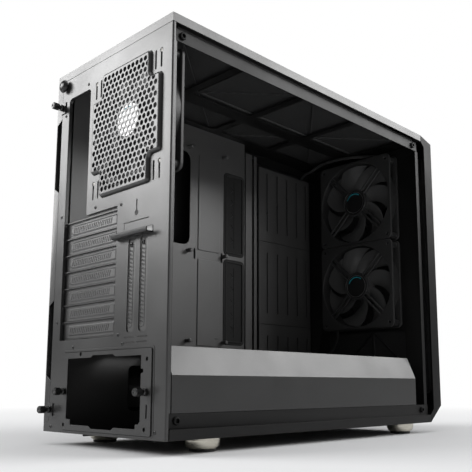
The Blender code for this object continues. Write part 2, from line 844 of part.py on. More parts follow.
def top_openings():
    # The long opening row on the open side's half, as (front, rear) pairs between the cross straps.
    edges = []
    rear = rear_y - top_rear_margin
    front = cover_rear_y + top_front_margin
    length = (rear - front - 3 * top_strap) / 4
    for index in range(4):
        low = front + index * (length + top_strap)
        edges.append((low, low + length))
    return edges


def top_frame():
    half = [(-flange_x, top_flange_z), (-flange_x, sheet_top_z)]
    profile = folded((half + mirrored(half))[::-1], sheet)
    low_y = cover_rear_y + 5 * mm
    frame = prism([profile], "y", low_y, seat_y - gap)
    holes = []
    for low, high in top_openings():
        for left, right in top_columns():
            opening = rounded(rectangle(left, low, right, high), 6 * mm)
            holes.append(prism([opening], "z", sheet_low_z - sheet, sheet_top_z + sheet))
    node("top_frame", cut(frame, merged(holes)), powder_black)


def top_columns():
    # The wide column of openings on the open side and the narrow one over the board, as (left, right) pairs.
    left = -flange_x + top_edge
    middle = left + top_opening_width
    return [(left, middle), (middle + 2 * top_strap, tray_x - 12 * mm)]


def top_filter():
    # The dust filter under the top panel: a fine skin carried by a truss of ribs.
    low = sheet_top_z + 1.3 * mm
    high = low + filter_thickness
    half = half_width - 8.5 * mm
    front = cover_rear_y + 12 * mm
    rear = rear_y - 14 * mm
    plate = prism([rectangle(-half, front, half, rear)], "z", high - filter_skin, high)
    edge = filter_edge
    holes = truss_holes(-half + edge, front + edge, half - edge, rear - edge, 2, 4)
    inset = filter_skin / 4
    outline = rectangle(-half + inset, front + inset, half - inset, rear - inset)
    ribs = prism([outline] + holes, "z", low, high - filter_skin / 2)
    node("top_filter", union(plate, ribs), moulded_black)


def top_panel():
    # A shallow lid with a large vent. It lifts off once the release button is pushed.
    front = cover_rear_y + gap
    outer = block((-half_width, front, skirt_z), (half_width, rear_y, top_z))
    inner = block(
        (-half_width + top_wall, front + top_wall, skirt_z - sheet),
        (half_width - top_wall, rear_y - top_wall, top_z - top_wall),
    )
    across = half_width - top_vent_side_margin
    vent = rectangle(-across, front + top_vent_end_margin, across, rear_y - top_vent_end_margin)
    opening = prism([rounded(vent, 10 * mm)], "z", top_z - 3 * top_wall, top_z + sheet)
    node("top_panel", cut(outer, inner, opening), powder_grey)


def front_frame():
    # The sheet that carries the front fans, with a flange along each side of the open bay.
    inner = flange_x - sheet - gap
    low = base_z + sheet + gap
    high = sheet_low_z - gap
    right = [(inner, low), (inner, floor_flange_z + gap), (flange_x, floor_flange_z + gap)]
    right += [(flange_x, top_flange_z - gap), (inner, top_flange_z - gap), (inner, high)]
    outline = right + mirrored(right)
    holes = []
    bore = fan_size / 2 - fan_bore_margin
    for middle in (upper_fan_z, lower_fan_z):
        holes.append(circle(front_fan_shift, middle, bore, 32))
        for across in (-fan_hole_reach, fan_hole_reach):
            for up in (middle - fan_hole_reach, middle + fan_hole_reach):
                holes.append(circle(front_fan_shift + across, up, fan_hole_radius, 8))
    lower_edge = lower_fan_z - fan_size / 2 - 4 * mm
    across = fan_size / 2 + 4 * mm
    lower = rectangle(-across + front_fan_shift, low + 14 * mm, across + front_fan_shift, lower_edge)
    holes.append(rounded(lower, 6 * mm))
    face = prism([outline] + holes, "y", frame_front_y, frame_rear_y)
    flanges = []
    for side in (-1, 1):
        left = min(side * flange_x, side * (flange_x - sheet))
        flanges.append(
            block(
                (left, frame_front_y + sheet / 2, floor_flange_z + gap),
                (left + sheet, frame_front_y + front_flange_depth, top_flange_z - gap),
            )
        )
    node("front_frame", union(face, merged(flanges)), powder_black)


# Motherboard tray, cable passes, covers and shroud


def grommet_outline(index, margin):
    high = tray_front_y + grommet_edge + grommet_width
    low_z = board_z + index * grommet_pitch
    shape = rectangle(
        tray_front_y + grommet_edge - margin, low_z - margin, high + margin, low_z + grommet_length + margin
    )
    return rounded(shape, 10 * mm + margin, 4)


def cooler_hole():
    # The cut-out behind the processor, between the middle and the rear columns of standoffs.
    front = board_y - board_columns[1] - 3.5 * mm
    rear = board_y - 24 * mm
    low = board_z + board_rows[1] + 8 * mm
    return rectangle(front, low, rear, board_z + board_rows[2] - 7 * mm)


def standoffs():
    places = [(column, row) for column in board_columns for row in board_rows]
    pieces = []
    for column, row in places:
        up = board_z + row
        if column == board_columns[0] and row == board_rows[2]:
            up -= 22.9 * mm
        centre = (0, board_y - column, up)
        profile = [(0, tray_x - standoff_height), (standoff_radius * 0.5, tray_x - standoff_height)]
        profile += [(standoff_radius, tray_x - standoff_height + 0.6 * mm)]
        profile += [(standoff_radius, tray_x + sheet / 2), (0, tray_x + sheet / 2)]
        pieces.append(turned(profile, "x", centre, 8))
    return merged(pieces)


def motherboard_tray():
    low = base_z + sheet + gap
    outline = rectangle(tray_front_y, low, tray_rear_y, sheet_low_z - gap)
    holes = [rounded(cooler_hole(), 12 * mm), supply_cable_hole()]
    for index in range(2):
        holes.append(grommet_outline(index, 0))
    tie_y = tray_front_y + grommet_edge + grommet_width + 5 * mm
    for across in (tie_y, tie_y + 54 * mm):
        holes.append(stadium(across, board_z + 119 * mm, across + 3.4 * mm, board_z + 135 * mm))
    face = prism([outline] + holes, "x", tray_x, tray_x + sheet)
    node("motherboard_tray", union(face, standoffs()), powder_grey)


def supply_cable_hole():
    low = base_z + 22 * mm
    return rounded(rectangle(board_y - 200 * mm, low, board_y - 60 * mm, shroud_z - 15 * mm), 8 * mm)


def grommets():
    for index, name in enumerate(("grommet_lower", "grommet_upper")):
        opening = grommet_outline(index, -grommet_wall)
        lip_low = tray_x - gap - 1.6 * mm
        lip_high = tray_x + sheet + gap + 1.6 * mm
        lips = []
        for start, end in ((lip_low, tray_x - gap), (tray_x + sheet + gap, lip_high)):
            lips.append(prism([grommet_outline(index, grommet_lip), opening], "x", start, end))
        neck = prism([grommet_outline(index, -gap), opening], "x", lip_low + 0.5 * mm, lip_high - 0.5 * mm)
        node(name, union(neck, merged(lips)), rubber_black)


def cover_plates():
    # Two plates on the tray's face, beside the grommets, for drives behind them.
    front = tray_front_y + grommet_edge + grommet_width + 12 * mm
    rear = front + cover_plate_width
    high_x = tray_x - gap
    upper_low = board_z + board_rows[1] + 4 * mm
    upper = rectangle(front, upper_low, rear, upper_low + 144 * mm)
    node("cover_plate_upper", prism([rounded(upper, 2 * mm)], "x", high_x - sheet, high_x), powder_grey)
    low = board_z - 6 * mm
    notch = front + 8 * mm
    lower = [(notch, low), (rear, low), (rear, low + 126 * mm), (front, low + 126 * mm)]
    lower += [(front, low + 11 * mm), (notch, low + 11 * mm)]
    node("cover_plate_lower", prism([lower], "x", high_x - sheet, high_x), powder_grey)


def cable_bar():
    # An open channel that hides the cables in front of the tray, with a slit along its face.
    rear = tray_front_y - 2 * mm
    web = rear - 13.5 * mm
    front = rear - 26.5 * mm
    face_x = tray_x
    foot_x = tray_x + bar_depth
    path = [(rear, face_x), (web, face_x), (web, foot_x), (front, foot_x), (front, face_x)]
    path.append((front + 6.5 * mm, face_x))
    outline = [(up, across) for across, up in folded(path, sheet)]
    high = sheet_low_z - 14 * mm
    mesh = prism([outline], "z", shroud_z + gap + sheet, high)
    node("cable_bar", mesh, powder_grey)


def drive_covers():
    # Three vented covers, one above the other, on the cable side of the bay.
    front = frame_rear_y + front_flange_depth
    rear = tray_front_y - drive_wall_rear
    seam = shroud_z + drive_cover_first
    seams = [shroud_z + 2 * mm, seam, seam + drive_cover_pitch, sheet_low_z - drive_wall_drop]
    pitch = (rear - front) / (drive_slot_count + 0.2)
    for index, name in enumerate(("drive_cover_lower", "drive_cover_middle", "drive_cover_upper")):
        low, high = seams[index], seams[index + 1]
        slot_low = low + (drive_slot_end if index == 0 else drive_slot_margin)
        slot_high = high - (drive_slot_end if index == 2 else drive_slot_margin)
        slots = []
        for slot in range(drive_slot_count):
            middle = rear - pitch * (slot + 0.8)
            left = middle - drive_slot_width / 2
            slots.append(stadium(left, slot_low, left + drive_slot_width, slot_high))
        outline = rectangle(front, low + gap, rear, high - gap)
        node(name, prism([outline] + slots, "x", drive_wall_x, drive_wall_x + sheet), powder_grey)


def psu_shroud():
    # A bent sheet over the power supply: an upright wall on the open side, a bevel and a flat top.
    low = floor_flange_z + gap
    bend = shroud_z - shroud_bevel_height
    path = [(tray_x - gap, shroud_z), (-flange_x + shroud_bevel_width, shroud_z), (-flange_x, bend)]
    path.append((-flange_x, low))
    front = front_y + shroud_front_setback
    rear = rear_y - shroud_rear_gap
    sheet_mesh = prism([folded(path, sheet)], "y", front, rear)
    holes = []
    for middle in shroud_passes():
        shape = rounded(rectangle(tray_x - 30 * mm, middle - 30 * mm, tray_x - 10 * mm, middle + 30 * mm), 6 * mm)
        holes.append(prism([shape], "z", shroud_z - 3 * sheet, shroud_z + sheet))
    node("psu_shroud", cut(sheet_mesh, merged(holes)), powder_grey)


def shroud_passes():
    return [board_y - 60 * mm, board_y - 170 * mm]


def panel_catches():
    # Ball sockets for the side panel that is off: two at the top, two at the bottom.
    high = sheet_top_z - top_flange_height / 2
    low = floor_ledge_z + floor_flange_height / 2 + 0.5 * mm
    rear = rear_y - 17.5 * mm
    front = front_y + 49 * mm
    places = {"top_rear": (rear, high), "top_front": (front, high)}
    places.update({"bottom_rear": (rear, low), "bottom_front": (front, low)})
    for name, (along, up) in places.items():
        outer_x = -flange_x - gap
        profile = [(2.4 * mm, outer_x), (4.4 * mm, outer_x), (4.4 * mm, outer_x - 1.6 * mm)]
        profile += [(3.6 * mm, outer_x - 2.6 * mm), (2.4 * mm, outer_x - 2.6 * mm)]
        mesh = turned(profile, "x", (0, along, up), 14)
        node(f"panel_catch_{name}", mesh, moulded_black, smooth=True)


# Feet


def feet():
    top = base_z - gap
    for side, across in (("left", -half_width + foot_side_inset), ("right", half_width - foot_side_inset)):
        for end, along in (("rear", rear_y - foot_rear_inset), ("front", front_y + foot_front_inset)):
            low = foot_pad_height + gap
            profile = [(0, low), (foot_bottom_radius, low), (foot_top_radius - 0.8 * mm, top - 1.6 * mm)]
            profile += [(foot_top_radius, top - 1 * mm), (foot_top_radius, top), (0, top)]
            mesh = turned(profile, "z", (across, along, 0), 24)
            node(f"foot_{end}_{side}", mesh, bright_nickel, smooth=True)
            radius = foot_bottom_radius - foot_pad_inset
            pad = [(0, 0), (radius - 0.6 * mm, 0), (radius, 0.6 * mm), (radius, foot_pad_height), (0, foot_pad_height)]
            mesh = turned(pad, "z", (across, along, 0), 20)
            node(f"foot_pad_{end}_{side}", mesh, rubber_black, smooth=True)


# Fans


def fan(name, across, low_y, up):
    # Air runs from low y to high y. The struts and the motor's base are on the outlet side.
    high_y = low_y + fan_depth
    half = fan_size / 2
    corners = rounded(rectangle(across - half, up - half, across + half, up + half), fan_corner, 2)
    low_flange = prism([corners], "y", low_y, low_y + fan_flange)
    high_flange = prism([corners], "y", high_y - fan_flange, high_y)
    bore = half - fan_bore_margin
    duct = prism([circle(across, up, half - 0.8 * mm, 32)], "y", low_y + 1 * mm, high_y - 1 * mm)
    cutters = [prism([circle(across, up, bore, 32)], "y", low_y - 2 * mm, high_y + 2 * mm)]
    for side in (-1, 1):
        for end in (-1, 1):
            hole = circle(across + side * fan_hole_reach, up + end * fan_hole_reach, fan_hole_radius, 6)
            cutters.append(prism([hole], "y", low_y - 2 * mm, high_y + 2 * mm))
    shell = cut(union(duct, merged([low_flange, high_flange])), merged(cutters))
    base_radius = fan_hub_radius * fan_size / (140 * mm)
    base = prism([circle(across, up, base_radius, 24)], "y", high_y - fan_strut_depth - 1 * mm, high_y - 0.4 * mm)
    struts = []
    for index in range(4):
        angle = math.radians(45 + 90 * index)
        sweep = math.radians(12)
        start = (across + 0.8 * base_radius * math.cos(angle - sweep), up + 0.8 * base_radius * math.sin(angle - sweep))
        reach = bore + 1.2 * mm
        end = (across + reach * math.cos(angle), up + reach * math.sin(angle))
        struts.append(bar(start, end, fan_strut_width, "y", high_y - fan_strut_depth, high_y - 0.6 * mm))
    mesh = union(shell, base, *struts)
    node(name + "_frame", mesh, fan_black)
    rotor(name + "_rotor", across, up, low_y + 2 * mm, high_y - fan_strut_depth - 2 * mm, bore - fan_tip_clearance)


def rotor(name, across, up, low_y, high_y, tip_radius):
    hub_radius = (fan_hub_radius - 0.6 * mm) * fan_size / (140 * mm)
    profile = [(0, low_y), (hub_radius - 1.5 * mm, low_y), (hub_radius, low_y + 1.5 * mm), (hub_radius, high_y)]
    profile.append((0, high_y))
    hub = turned(profile, "y", (across, 0, up), 28)
    blades = []
    for blade in range(fan_blades):
        blades.append(fan_blade(across, up, low_y + 1 * mm, high_y - 1 * mm, hub_radius, tip_radius, blade))
    node(name, union(hub, merged(blades)), fan_black, (across, (low_y + high_y) / 2, up), smooth=True)


def fan_blade(across, up, low_y, high_y, hub_radius, tip_radius, blade):
    # A curved plate: it sweeps round as it goes outwards and slants from the inlet to the outlet.
    spans = 3
    chords = 2
    shape = bmesh.new()
    layers = []
    for layer in (0, 1):
        grid = []
        for span in range(spans + 1):
            share = span / spans
            radius = hub_radius - 1.2 * mm + share * (tip_radius - hub_radius + 1.2 * mm)
            chord = math.radians(36 + 5 * share)
            lead = math.radians(14) * share**1.5 + 2 * math.pi * blade / fan_blades
            row = []
            for step in range(chords + 1):
                place_along = step / chords
                angle = lead + chord * place_along
                slope = (high_y - low_y - fan_blade_thickness) * (1 - 0.25 * share)
                along = high_y - fan_blade_thickness - slope * (place_along**0.85) + layer * fan_blade_thickness
                row.append(shape.verts.new((across + radius * math.cos(angle), along, up + radius * math.sin(angle))))
            grid.append(row)
        layers.append(grid)
    low, high = layers
    for span in range(spans):
        for step in range(chords):
            for grid in layers:
                corners = [grid[span][step], grid[span + 1][step], grid[span + 1][step + 1], grid[span][step + 1]]
                shape.faces.new(corners)
    rim = [(span, 0) for span in range(spans)] + [(spans, step) for step in range(chords)]
    rim += [(span, chords) for span in range(spans, 0, -1)] + [(0, step) for step in range(chords, 0, -1)]
    for (span, step), (next_span, next_step) in zip(rim, rim[1:] + rim[:1]):
        shape.faces.new(
            [low[span][step], low[next_span][next_step], high[next_span][next_step], high[span][step]]
        )
    return to_mesh(shape)


def fans():
    fan("front_fan_upper", front_fan_shift, front_fan_y, upper_fan_z)
    fan("front_fan_lower", front_fan_shift, front_fan_y, lower_fan_z)
    fan("rear_fan", rear_fan_x, rear_fan_y, rear_fan_z)


def fan_hub():
    # The small board that feeds the fans, behind the tray.
    low = (tray_x + sheet + gap, board_y - 120 * mm, board_z + 40 * mm)
    high = (low[0] + 13 * mm, low[1] + 52 * mm, low[2] + 74 * mm)
    shape = rounded(rectangle(low[1], low[2], high[1], high[2]), 3 * mm)
    node("fan_hub", prism([shape], "x", low[0], high[0]), moulded_black)


# Front panel


def cover_top(along):
    # Height of the front panel's top face, which falls towards the front.
    return top_z - cover_top_drop * (cover_rear_y - along) / cover_overlap


def cover_bottom(along):
    return base_z + cover_bottom_rise * (cover_rear_y - along) / cover_overlap


def front_panel():
    side_y = front_y + cover_depth
    outline = [(cover_rear_y, top_z), (front_y, cover_top(front_y)), (front_y, cover_bottom(front_y))]
    outline.append((cover_rear_y, base_z))
    body = prism([outline], "x", -half_width, half_width)
    inner_y = front_y + cover_wall
    behind = cover_rear_y + 5 * mm
    room = [(behind, cover_top(behind) - cover_wall * 1.05), (inner_y, cover_top(inner_y) - cover_wall * 1.05)]
    room += [(inner_y, cover_bottom(inner_y) + cover_wall * 1.3), (behind, cover_bottom(behind) + cover_wall * 1.3)]
    hollow = prism([room], "x", -half_width + cover_wall, half_width - cover_wall)
    opening = prism([rounded(cover_opening(0), 8 * mm)], "y", front_y - sheet, front_y + 2 * cover_wall)
    # On the open side its edge steps forwards between two bevels.
    past = 5 * mm
    rise = past * cover_corner / (cover_overlap - cover_depth)
    step = [(cover_rear_y + past, floor_ledge_z - rise), (side_y, floor_ledge_z + cover_corner)]
    step += [(side_y, skirt_z - cover_corner), (cover_rear_y + past, skirt_z + rise)]
    bite = prism([step], "x", -half_width - sheet, -half_width + 2 * cover_wall)
    node("front_panel", cut(body, hollow, opening, bite, control_pocket(gap)), moulded_black)


def cover_opening(margin):
    across = half_width - cover_side_margin
    low = base_z + cover_opening_bottom
    return rectangle(-across - margin, low - margin, across + margin, top_z - cover_opening_top + margin)


def front_mesh():
    # The vented face of the front panel: a fine skin with a truss of ribs behind it.
    across = half_width - cover_side_margin
    low = base_z + cover_opening_bottom
    high = top_z - cover_opening_top
    skin_y = front_y + 0.6 * mm
    plate = prism([rounded(cover_opening(-gap), 8 * mm - gap)], "y", skin_y, skin_y + mesh_thickness)
    flange_low = front_y + cover_wall + gap
    flange = prism([rounded(cover_opening(6 * mm), 8 * mm)], "y", flange_low, flange_low + 1.2 * mm)
    inset = filter_edge
    outline = rectangle(-across - 4 * mm, low - 4 * mm, across + 4 * mm, high + 4 * mm)
    holes = truss_holes(-across + inset, low + inset, across - inset, high - inset, 2, 4)
    ribs = prism([outline] + holes, "y", flange_low + 0.6 * mm, flange_low + mesh_rib_depth)
    node("front_mesh", union(plate, flange, ribs), moulded_black)


def control_slope():
    # Turns a shape about the middle of the controls, from level to the slope of the front panel's top.
    middle = (cover_rear_y + front_y) / 2 - 1 * mm
    pivot = Vector((0, middle, cover_top(middle)))
    turn = Matrix.Rotation(math.atan(cover_top_drop / cover_overlap), 4, "X")
    return Matrix.Translation(pivot) @ turn


def control_pocket(margin):
    half = control_length / 2 + margin
    across = control_width / 2 + margin
    mesh = prism([rounded(rectangle(-half, -across, half, across), 3 * mm + margin)], "z", -9 * mm, 3 * mm)
    mesh.transform(control_slope())
    return mesh


def connector_module():
    # The strip of connectors in the front panel's top face, with the power button's well in its middle.
    half = control_length / 2
    across = control_width / 2
    outline = rounded(rectangle(-half, -across, half, across), 3 * mm)
    body = prism([outline], "z", -control_depth, 0)
    wells = [prism([circle(0, 0, power_radius + gap, 24)], "z", -control_depth + 2 * mm, 1 * mm)]
    for middle, length, width in control_sockets():
        shape = rectangle(middle - length / 2, -width / 2, middle + length / 2, width / 2)
        wells.append(prism([shape], "z", -control_depth + 2 * mm, 1 * mm))
    for middle in (-56 * mm, -43 * mm):
        wells.append(prism([circle(middle, 0, 1.9 * mm, 12)], "z", -control_depth + 2 * mm, 1 * mm))
    mesh = cut(body, merged(wells))
    mesh.transform(control_slope())
    node("connector_module", mesh, moulded_black)


def control_sockets():
    # (middle, length, width) of each flat socket.
    return [(-25 * mm, 13.4 * mm, 6.2 * mm), (25 * mm, 13.4 * mm, 6.2 * mm), (48 * mm, 9.4 * mm, 3.6 * mm)]


def power_button():
    # A round button that travels square to the sloping top of the front panel.
    low = -control_depth + 2 * mm + power_travel + 1 * mm
    profile = [(0, low), (power_radius, low), (power_radius, 0.2 * mm), (power_radius - 0.6 * mm, 0.8 * mm)]
    profile += [(power_radius * 0.6, 0.5 * mm), (0, 0.4 * mm)]
    mesh = turned(profile, "z", (0, 0, 0), 24)
    mesh.transform(control_slope())
    node("power_button", mesh, bright_nickel, control_slope().translation, smooth=True)


# Leads


def lead(name, route, radius):
    # A round lead along a smooth curve through the points of its route.
    points = smooth_route([Vector(point) for point in route], radius * 6)
    curve = bpy.data.curves.new(name, "CURVE")
    curve.dimensions = "3D"
    curve.bevel_depth = radius
    curve.bevel_resolution = 2
    curve.use_fill_caps = True
    spline = curve.splines.new("POLY")
    spline.points.add(len(points) - 1)
    for item, point in zip(spline.points, points):
        item.co = (*point, 1)
    curve.materials.append(finish(name + "_finish", *rubber_black))
    piece = bpy.data.objects.new(name, curve)
    bpy.context.scene.collection.objects.link(piece)
    piece.parent = tower_frame


def smooth_route(points, spacing):
    # Catmull-Rom curves through the points, read at even steps.
    padded = [points[0] * 2 - points[1]] + points + [points[-1] * 2 - points[-2]]
    fine = []
    for before, start, end, after in zip(padded, padded[1:], padded[2:], padded[3:]):
        for step in range(20):
            part = step / 20
            fine.append(
                0.5
                * (
                    2 * start
                    + (end - before) * part
                    + (2 * before - 5 * start + 4 * end - after) * part**2
                    + (3 * start - before - 3 * end + after) * part**3
                )
            )
    fine.append(points[-1])
    length = sum((second - first).length for first, second in zip(fine, fine[1:]))
    count = max(6, min(78, round(length / spacing)))
    read = [fine[0]]
    walked = 0.0
    for first, second in zip(fine, fine[1:]):
        walked += (second - first).length
        if walked >= length / count * len(read) and len(read) < count:
            read.append(second)
    return read + [fine[-1]]


def fan_leads():
    # The upper lead leaves the top of its fan, crosses over it and drops behind the drive covers to the hub.
    top = upper_fan_z + fan_size / 2
    out = front_fan_y + fan_depth
    behind = drive_wall_x + 4.6 * mm
    hub_x = tray_x + 8 * mm
    hub_y = board_y - 120 * mm
    hub_z = board_z + 92 * mm
    route = [
        (front_fan_shift - 40 * mm, out - 10 * mm, top + 3.2 * mm),
        (front_fan_shift - 26 * mm, out - 6 * mm, top + 4.2 * mm),
        (front_fan_shift - 5 * mm, out + 5 * mm, top + 5.6 * mm),
        (front_fan_shift + 28 * mm, out + 12 * mm, top + 6.6 * mm),
        (front_fan_shift + 60 * mm, out + 12 * mm, top + 5 * mm),
        (front_fan_shift + 85 * mm, out + 4 * mm, top + 2 * mm),
        (drive_wall_x - 4 * mm, out - 2 * mm, top + 1.4 * mm),
        (behind, out - 2 * mm, top - 6 * mm),
        (behind + 0.5 * mm, out + 10 * mm, top - 26 * mm),
        (behind, out + 50 * mm, top - 60 * mm),
        (behind, out + 100 * mm, top - 90 * mm),
        (behind, tray_front_y - 12 * mm, top - 120 * mm),
        (behind - 1 * mm, tray_front_y + 10 * mm, top - 140 * mm),
        (hub_x + 8 * mm, tray_front_y + 48 * mm, top - 160 * mm),
        (hub_x + 4 * mm, hub_y - 28 * mm, hub_z + 6 * mm),
        (hub_x + 1 * mm, hub_y - 12 * mm, hub_z),
        (hub_x, hub_y - gap, hub_z),
    ]
    lead("fan_lead_upper", route, 2.2 * mm)
    low = lower_fan_z - fan_size / 2
    side = front_fan_shift + 45 * mm
    hub_z -= 20 * mm
    route = [
        (side, out - 8 * mm, low - gap),
        (side, out - 8 * mm, low - 8 * mm),
        (side + 3 * mm, out - 7 * mm, low - 22 * mm),
        (side + 12 * mm, out - 4 * mm, low - 36 * mm),
        (side + 26 * mm, out + 2 * mm, shroud_z + 5 * mm),
        (side + 40 * mm, out + 14 * mm, shroud_z + 3 * mm),
        (side + 48 * mm, out + 40 * mm, shroud_z + 2.6 * mm),
        (side + 50 * mm, out + 90 * mm, shroud_z + 2.6 * mm),
        (side + 52 * mm, out + 126 * mm, shroud_z + 3 * mm),
        (hub_x + 13 * mm, tray_front_y - 36 * mm, shroud_z + 8 * mm),
        (behind + 1 * mm, tray_front_y - 18 * mm, shroud_z + 22 * mm),
        (behind, tray_front_y + 10 * mm, shroud_z + 42 * mm),
        (hub_x + 8 * mm, tray_front_y + 48 * mm, hub_z - 12 * mm),
        (hub_x + 2 * mm, hub_y - 14 * mm, hub_z),
        (hub_x, hub_y - gap, hub_z),
    ]
    lead("fan_lead_lower", route, 1.8 * mm)


rear_panel()
rear_fan_grille()
slot_covers()
upright_slot_covers()
slot_clamp()
supply_bracket()
release_button()
right_side_panel()
floor_pan()
bottom_filter()
top_frame()
top_filter()
top_panel()
front_frame()
motherboard_tray()
grommets()
cover_plates()
cable_bar()
drive_covers()
psu_shroud()
panel_catches()
feet()
fans()
fan_hub()
front_panel()
front_mesh()
connector_module()
power_button()
fan_leads()
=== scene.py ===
import json
import math

import bmesh
import bpy
import numpy as np
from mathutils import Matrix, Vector
from mathutils.geometry import delaunay_2d_cdt

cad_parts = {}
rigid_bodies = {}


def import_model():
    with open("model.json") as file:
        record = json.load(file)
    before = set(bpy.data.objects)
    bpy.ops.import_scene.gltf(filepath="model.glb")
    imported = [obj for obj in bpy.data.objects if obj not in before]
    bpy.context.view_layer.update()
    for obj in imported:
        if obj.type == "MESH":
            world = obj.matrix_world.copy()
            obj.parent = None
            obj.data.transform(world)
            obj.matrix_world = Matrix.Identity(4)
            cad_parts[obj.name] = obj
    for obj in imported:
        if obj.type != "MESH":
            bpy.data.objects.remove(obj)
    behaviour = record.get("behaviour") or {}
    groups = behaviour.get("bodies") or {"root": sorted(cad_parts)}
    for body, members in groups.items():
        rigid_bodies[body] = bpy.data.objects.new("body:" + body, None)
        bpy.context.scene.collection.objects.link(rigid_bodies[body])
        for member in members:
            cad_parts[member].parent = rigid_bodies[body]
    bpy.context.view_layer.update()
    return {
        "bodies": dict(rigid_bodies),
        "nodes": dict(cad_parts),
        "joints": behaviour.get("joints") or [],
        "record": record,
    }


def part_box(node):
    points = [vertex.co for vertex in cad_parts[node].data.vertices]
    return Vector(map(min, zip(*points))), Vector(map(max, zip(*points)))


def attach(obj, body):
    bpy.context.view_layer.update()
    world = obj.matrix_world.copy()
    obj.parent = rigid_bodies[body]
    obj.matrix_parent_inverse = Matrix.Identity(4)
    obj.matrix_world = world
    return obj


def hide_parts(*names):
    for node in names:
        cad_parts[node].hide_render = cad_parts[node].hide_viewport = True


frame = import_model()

# Metres, +Z up. The rear faces +Y, the front -Y and the open side -X.
mm = 0.001
nodes = frame["nodes"]
bodyOf = {}
for bodyName, members in frame["record"]["behaviour"]["bodies"].items():
    bodyOf.update({member: bodyName for member in members})
slotOf = {part["node"]: part["material_slot"] for part in frame["record"]["subparts"]}


def low(node):
    return np.array(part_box(node)[0])


def high(node):
    return np.array(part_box(node)[1])


def middle(node):
    return (low(node) + high(node)) / 2


# The planes that the pieces are placed from
at = {
    "sheet": 1 * mm,
    "left": low("rear_panel")[0],
    "right": high("right_side_panel")[0],
    "rear": high("top_panel")[1],
    "front": low("front_panel")[1],
    "base": low("rear_panel")[2],
    "skirt": low("top_panel")[2],
    "tray": high("motherboard_tray")[0] - 1 * mm,
    "shroud": high("psu_shroud")[2],
    "flange": low("top_frame")[0],
}


# Shapes: each is its points and its faces, as arrays

def shapeOf(points, quads=None, tris=None):
    quads = np.zeros((0, 4), int) if quads is None else np.asarray(quads, int)
    tris = np.zeros((0, 3), int) if tris is None else np.asarray(tris, int)
    return np.asarray(points, float), quads, tris


def joined(shapes):
    points, quads, tris, count = [], [], [], 0
    for shapePoints, shapeQuads, shapeTris in shapes:
        points.append(shapePoints)
        quads.append(shapeQuads + count)
        tris.append(shapeTris + count)
        count += len(shapePoints)
    return np.concatenate(points), np.concatenate(quads), np.concatenate(tris)


def placed(axis, across, up, along):
    # (across, up) lie in the plane square to the axis: (y, z) for x, (x, z) for y and (x, y) for z.
    across, up, along = np.broadcast_arrays(across, up, along)
    order = {"x": (along, across, up), "y": (across, along, up), "z": (across, up, along)}
    return np.stack(order[axis], -1)


def gridShape(points, wrapRows=False, wrapColumns=False):
    # Quads between the rows and columns of a grid of points.
    rows, columns = points.shape[:2]
    index = np.arange(rows * columns).reshape(rows, columns)
    if wrapRows:
        index = np.concatenate([index, index[:1]])
    if wrapColumns:
        index = np.concatenate([index, index[:, :1]], 1)
    quads = np.stack([index[:-1, :-1], index[1:, :-1], index[1:, 1:], index[:-1, 1:]], -1)
    return shapeOf(points.reshape(-1, 3), quads.reshape(-1, 4))


def turnedShape(profile, axis, centre, steps=48, ripple=None, lift=None):
    # Each (radius, along) of the profile goes round the axis as radius * (cos t, sin t).
    # A ripple changes the radius and a lift the height: each is a function of (radius, along, t).
    profile = np.array(profile, float)
    turn = np.linspace(0, 2 * np.pi, steps, endpoint=False)
    inner = profile[(profile[:, 0] > 1e-9)]
    radius = inner[:, :1] * np.ones((1, steps))
    along = inner[:, 1:] * np.ones((1, steps))
    if lift is not None:
        along = lift(radius, along, turn[None])
        profile[:, 1] *= np.sign(lift(np.zeros(1), np.ones(1), np.zeros(1)))
    if ripple is not None:
        radius = ripple(radius, inner[:, 1:], turn[None])
    rings = placed(axis, radius * np.cos(turn), radius * np.sin(turn), along)
    points, quads, _ = gridShape(rings, wrapColumns=True)
    tris = []
    for first, ring in ((0, 0), (-1, len(inner) - 1)):
        if profile[first, 0] <= 1e-9:
            points = np.concatenate([points, placed(axis, 0.0, 0.0, profile[first, 1])[None]])
            start = ring * steps + np.arange(steps)
            pair = [start, ring * steps + (np.arange(steps) + 1) % steps]
            fan = np.stack(pair + [np.full(steps, len(points) - 1)], -1)
            tris.append(fan if first == 0 else fan[:, ::-1])
    tris = np.concatenate(tris) if tris else None
    return outwards(shapeOf(points + np.array(centre, float), quads, tris))


def outwards(shape):
    # Turns a closed shape's faces round if its signed volume is negative.
    points, quads, tris = shape
    allTris = np.concatenate([quads[:, :3], quads[:, [0, 2, 3]], tris])
    corners = points[allTris] - points.mean(0)
    volume = np.einsum("ij,ij->i", corners[:, 0], np.cross(corners[:, 1], corners[:, 2])).sum()
    return shape if volume > 0 else (points, quads[:, ::-1], tris[:, ::-1])


def circle(across, up, radius, steps=24, start=0.0):
    turn = start + np.linspace(0, 2 * np.pi, steps, endpoint=False)
    return np.stack([across + radius * np.cos(turn), up + radius * np.sin(turn)], -1)


def rectangle(left, low, right, high):
    return np.array([(left, low), (right, low), (right, high), (left, high)], float)


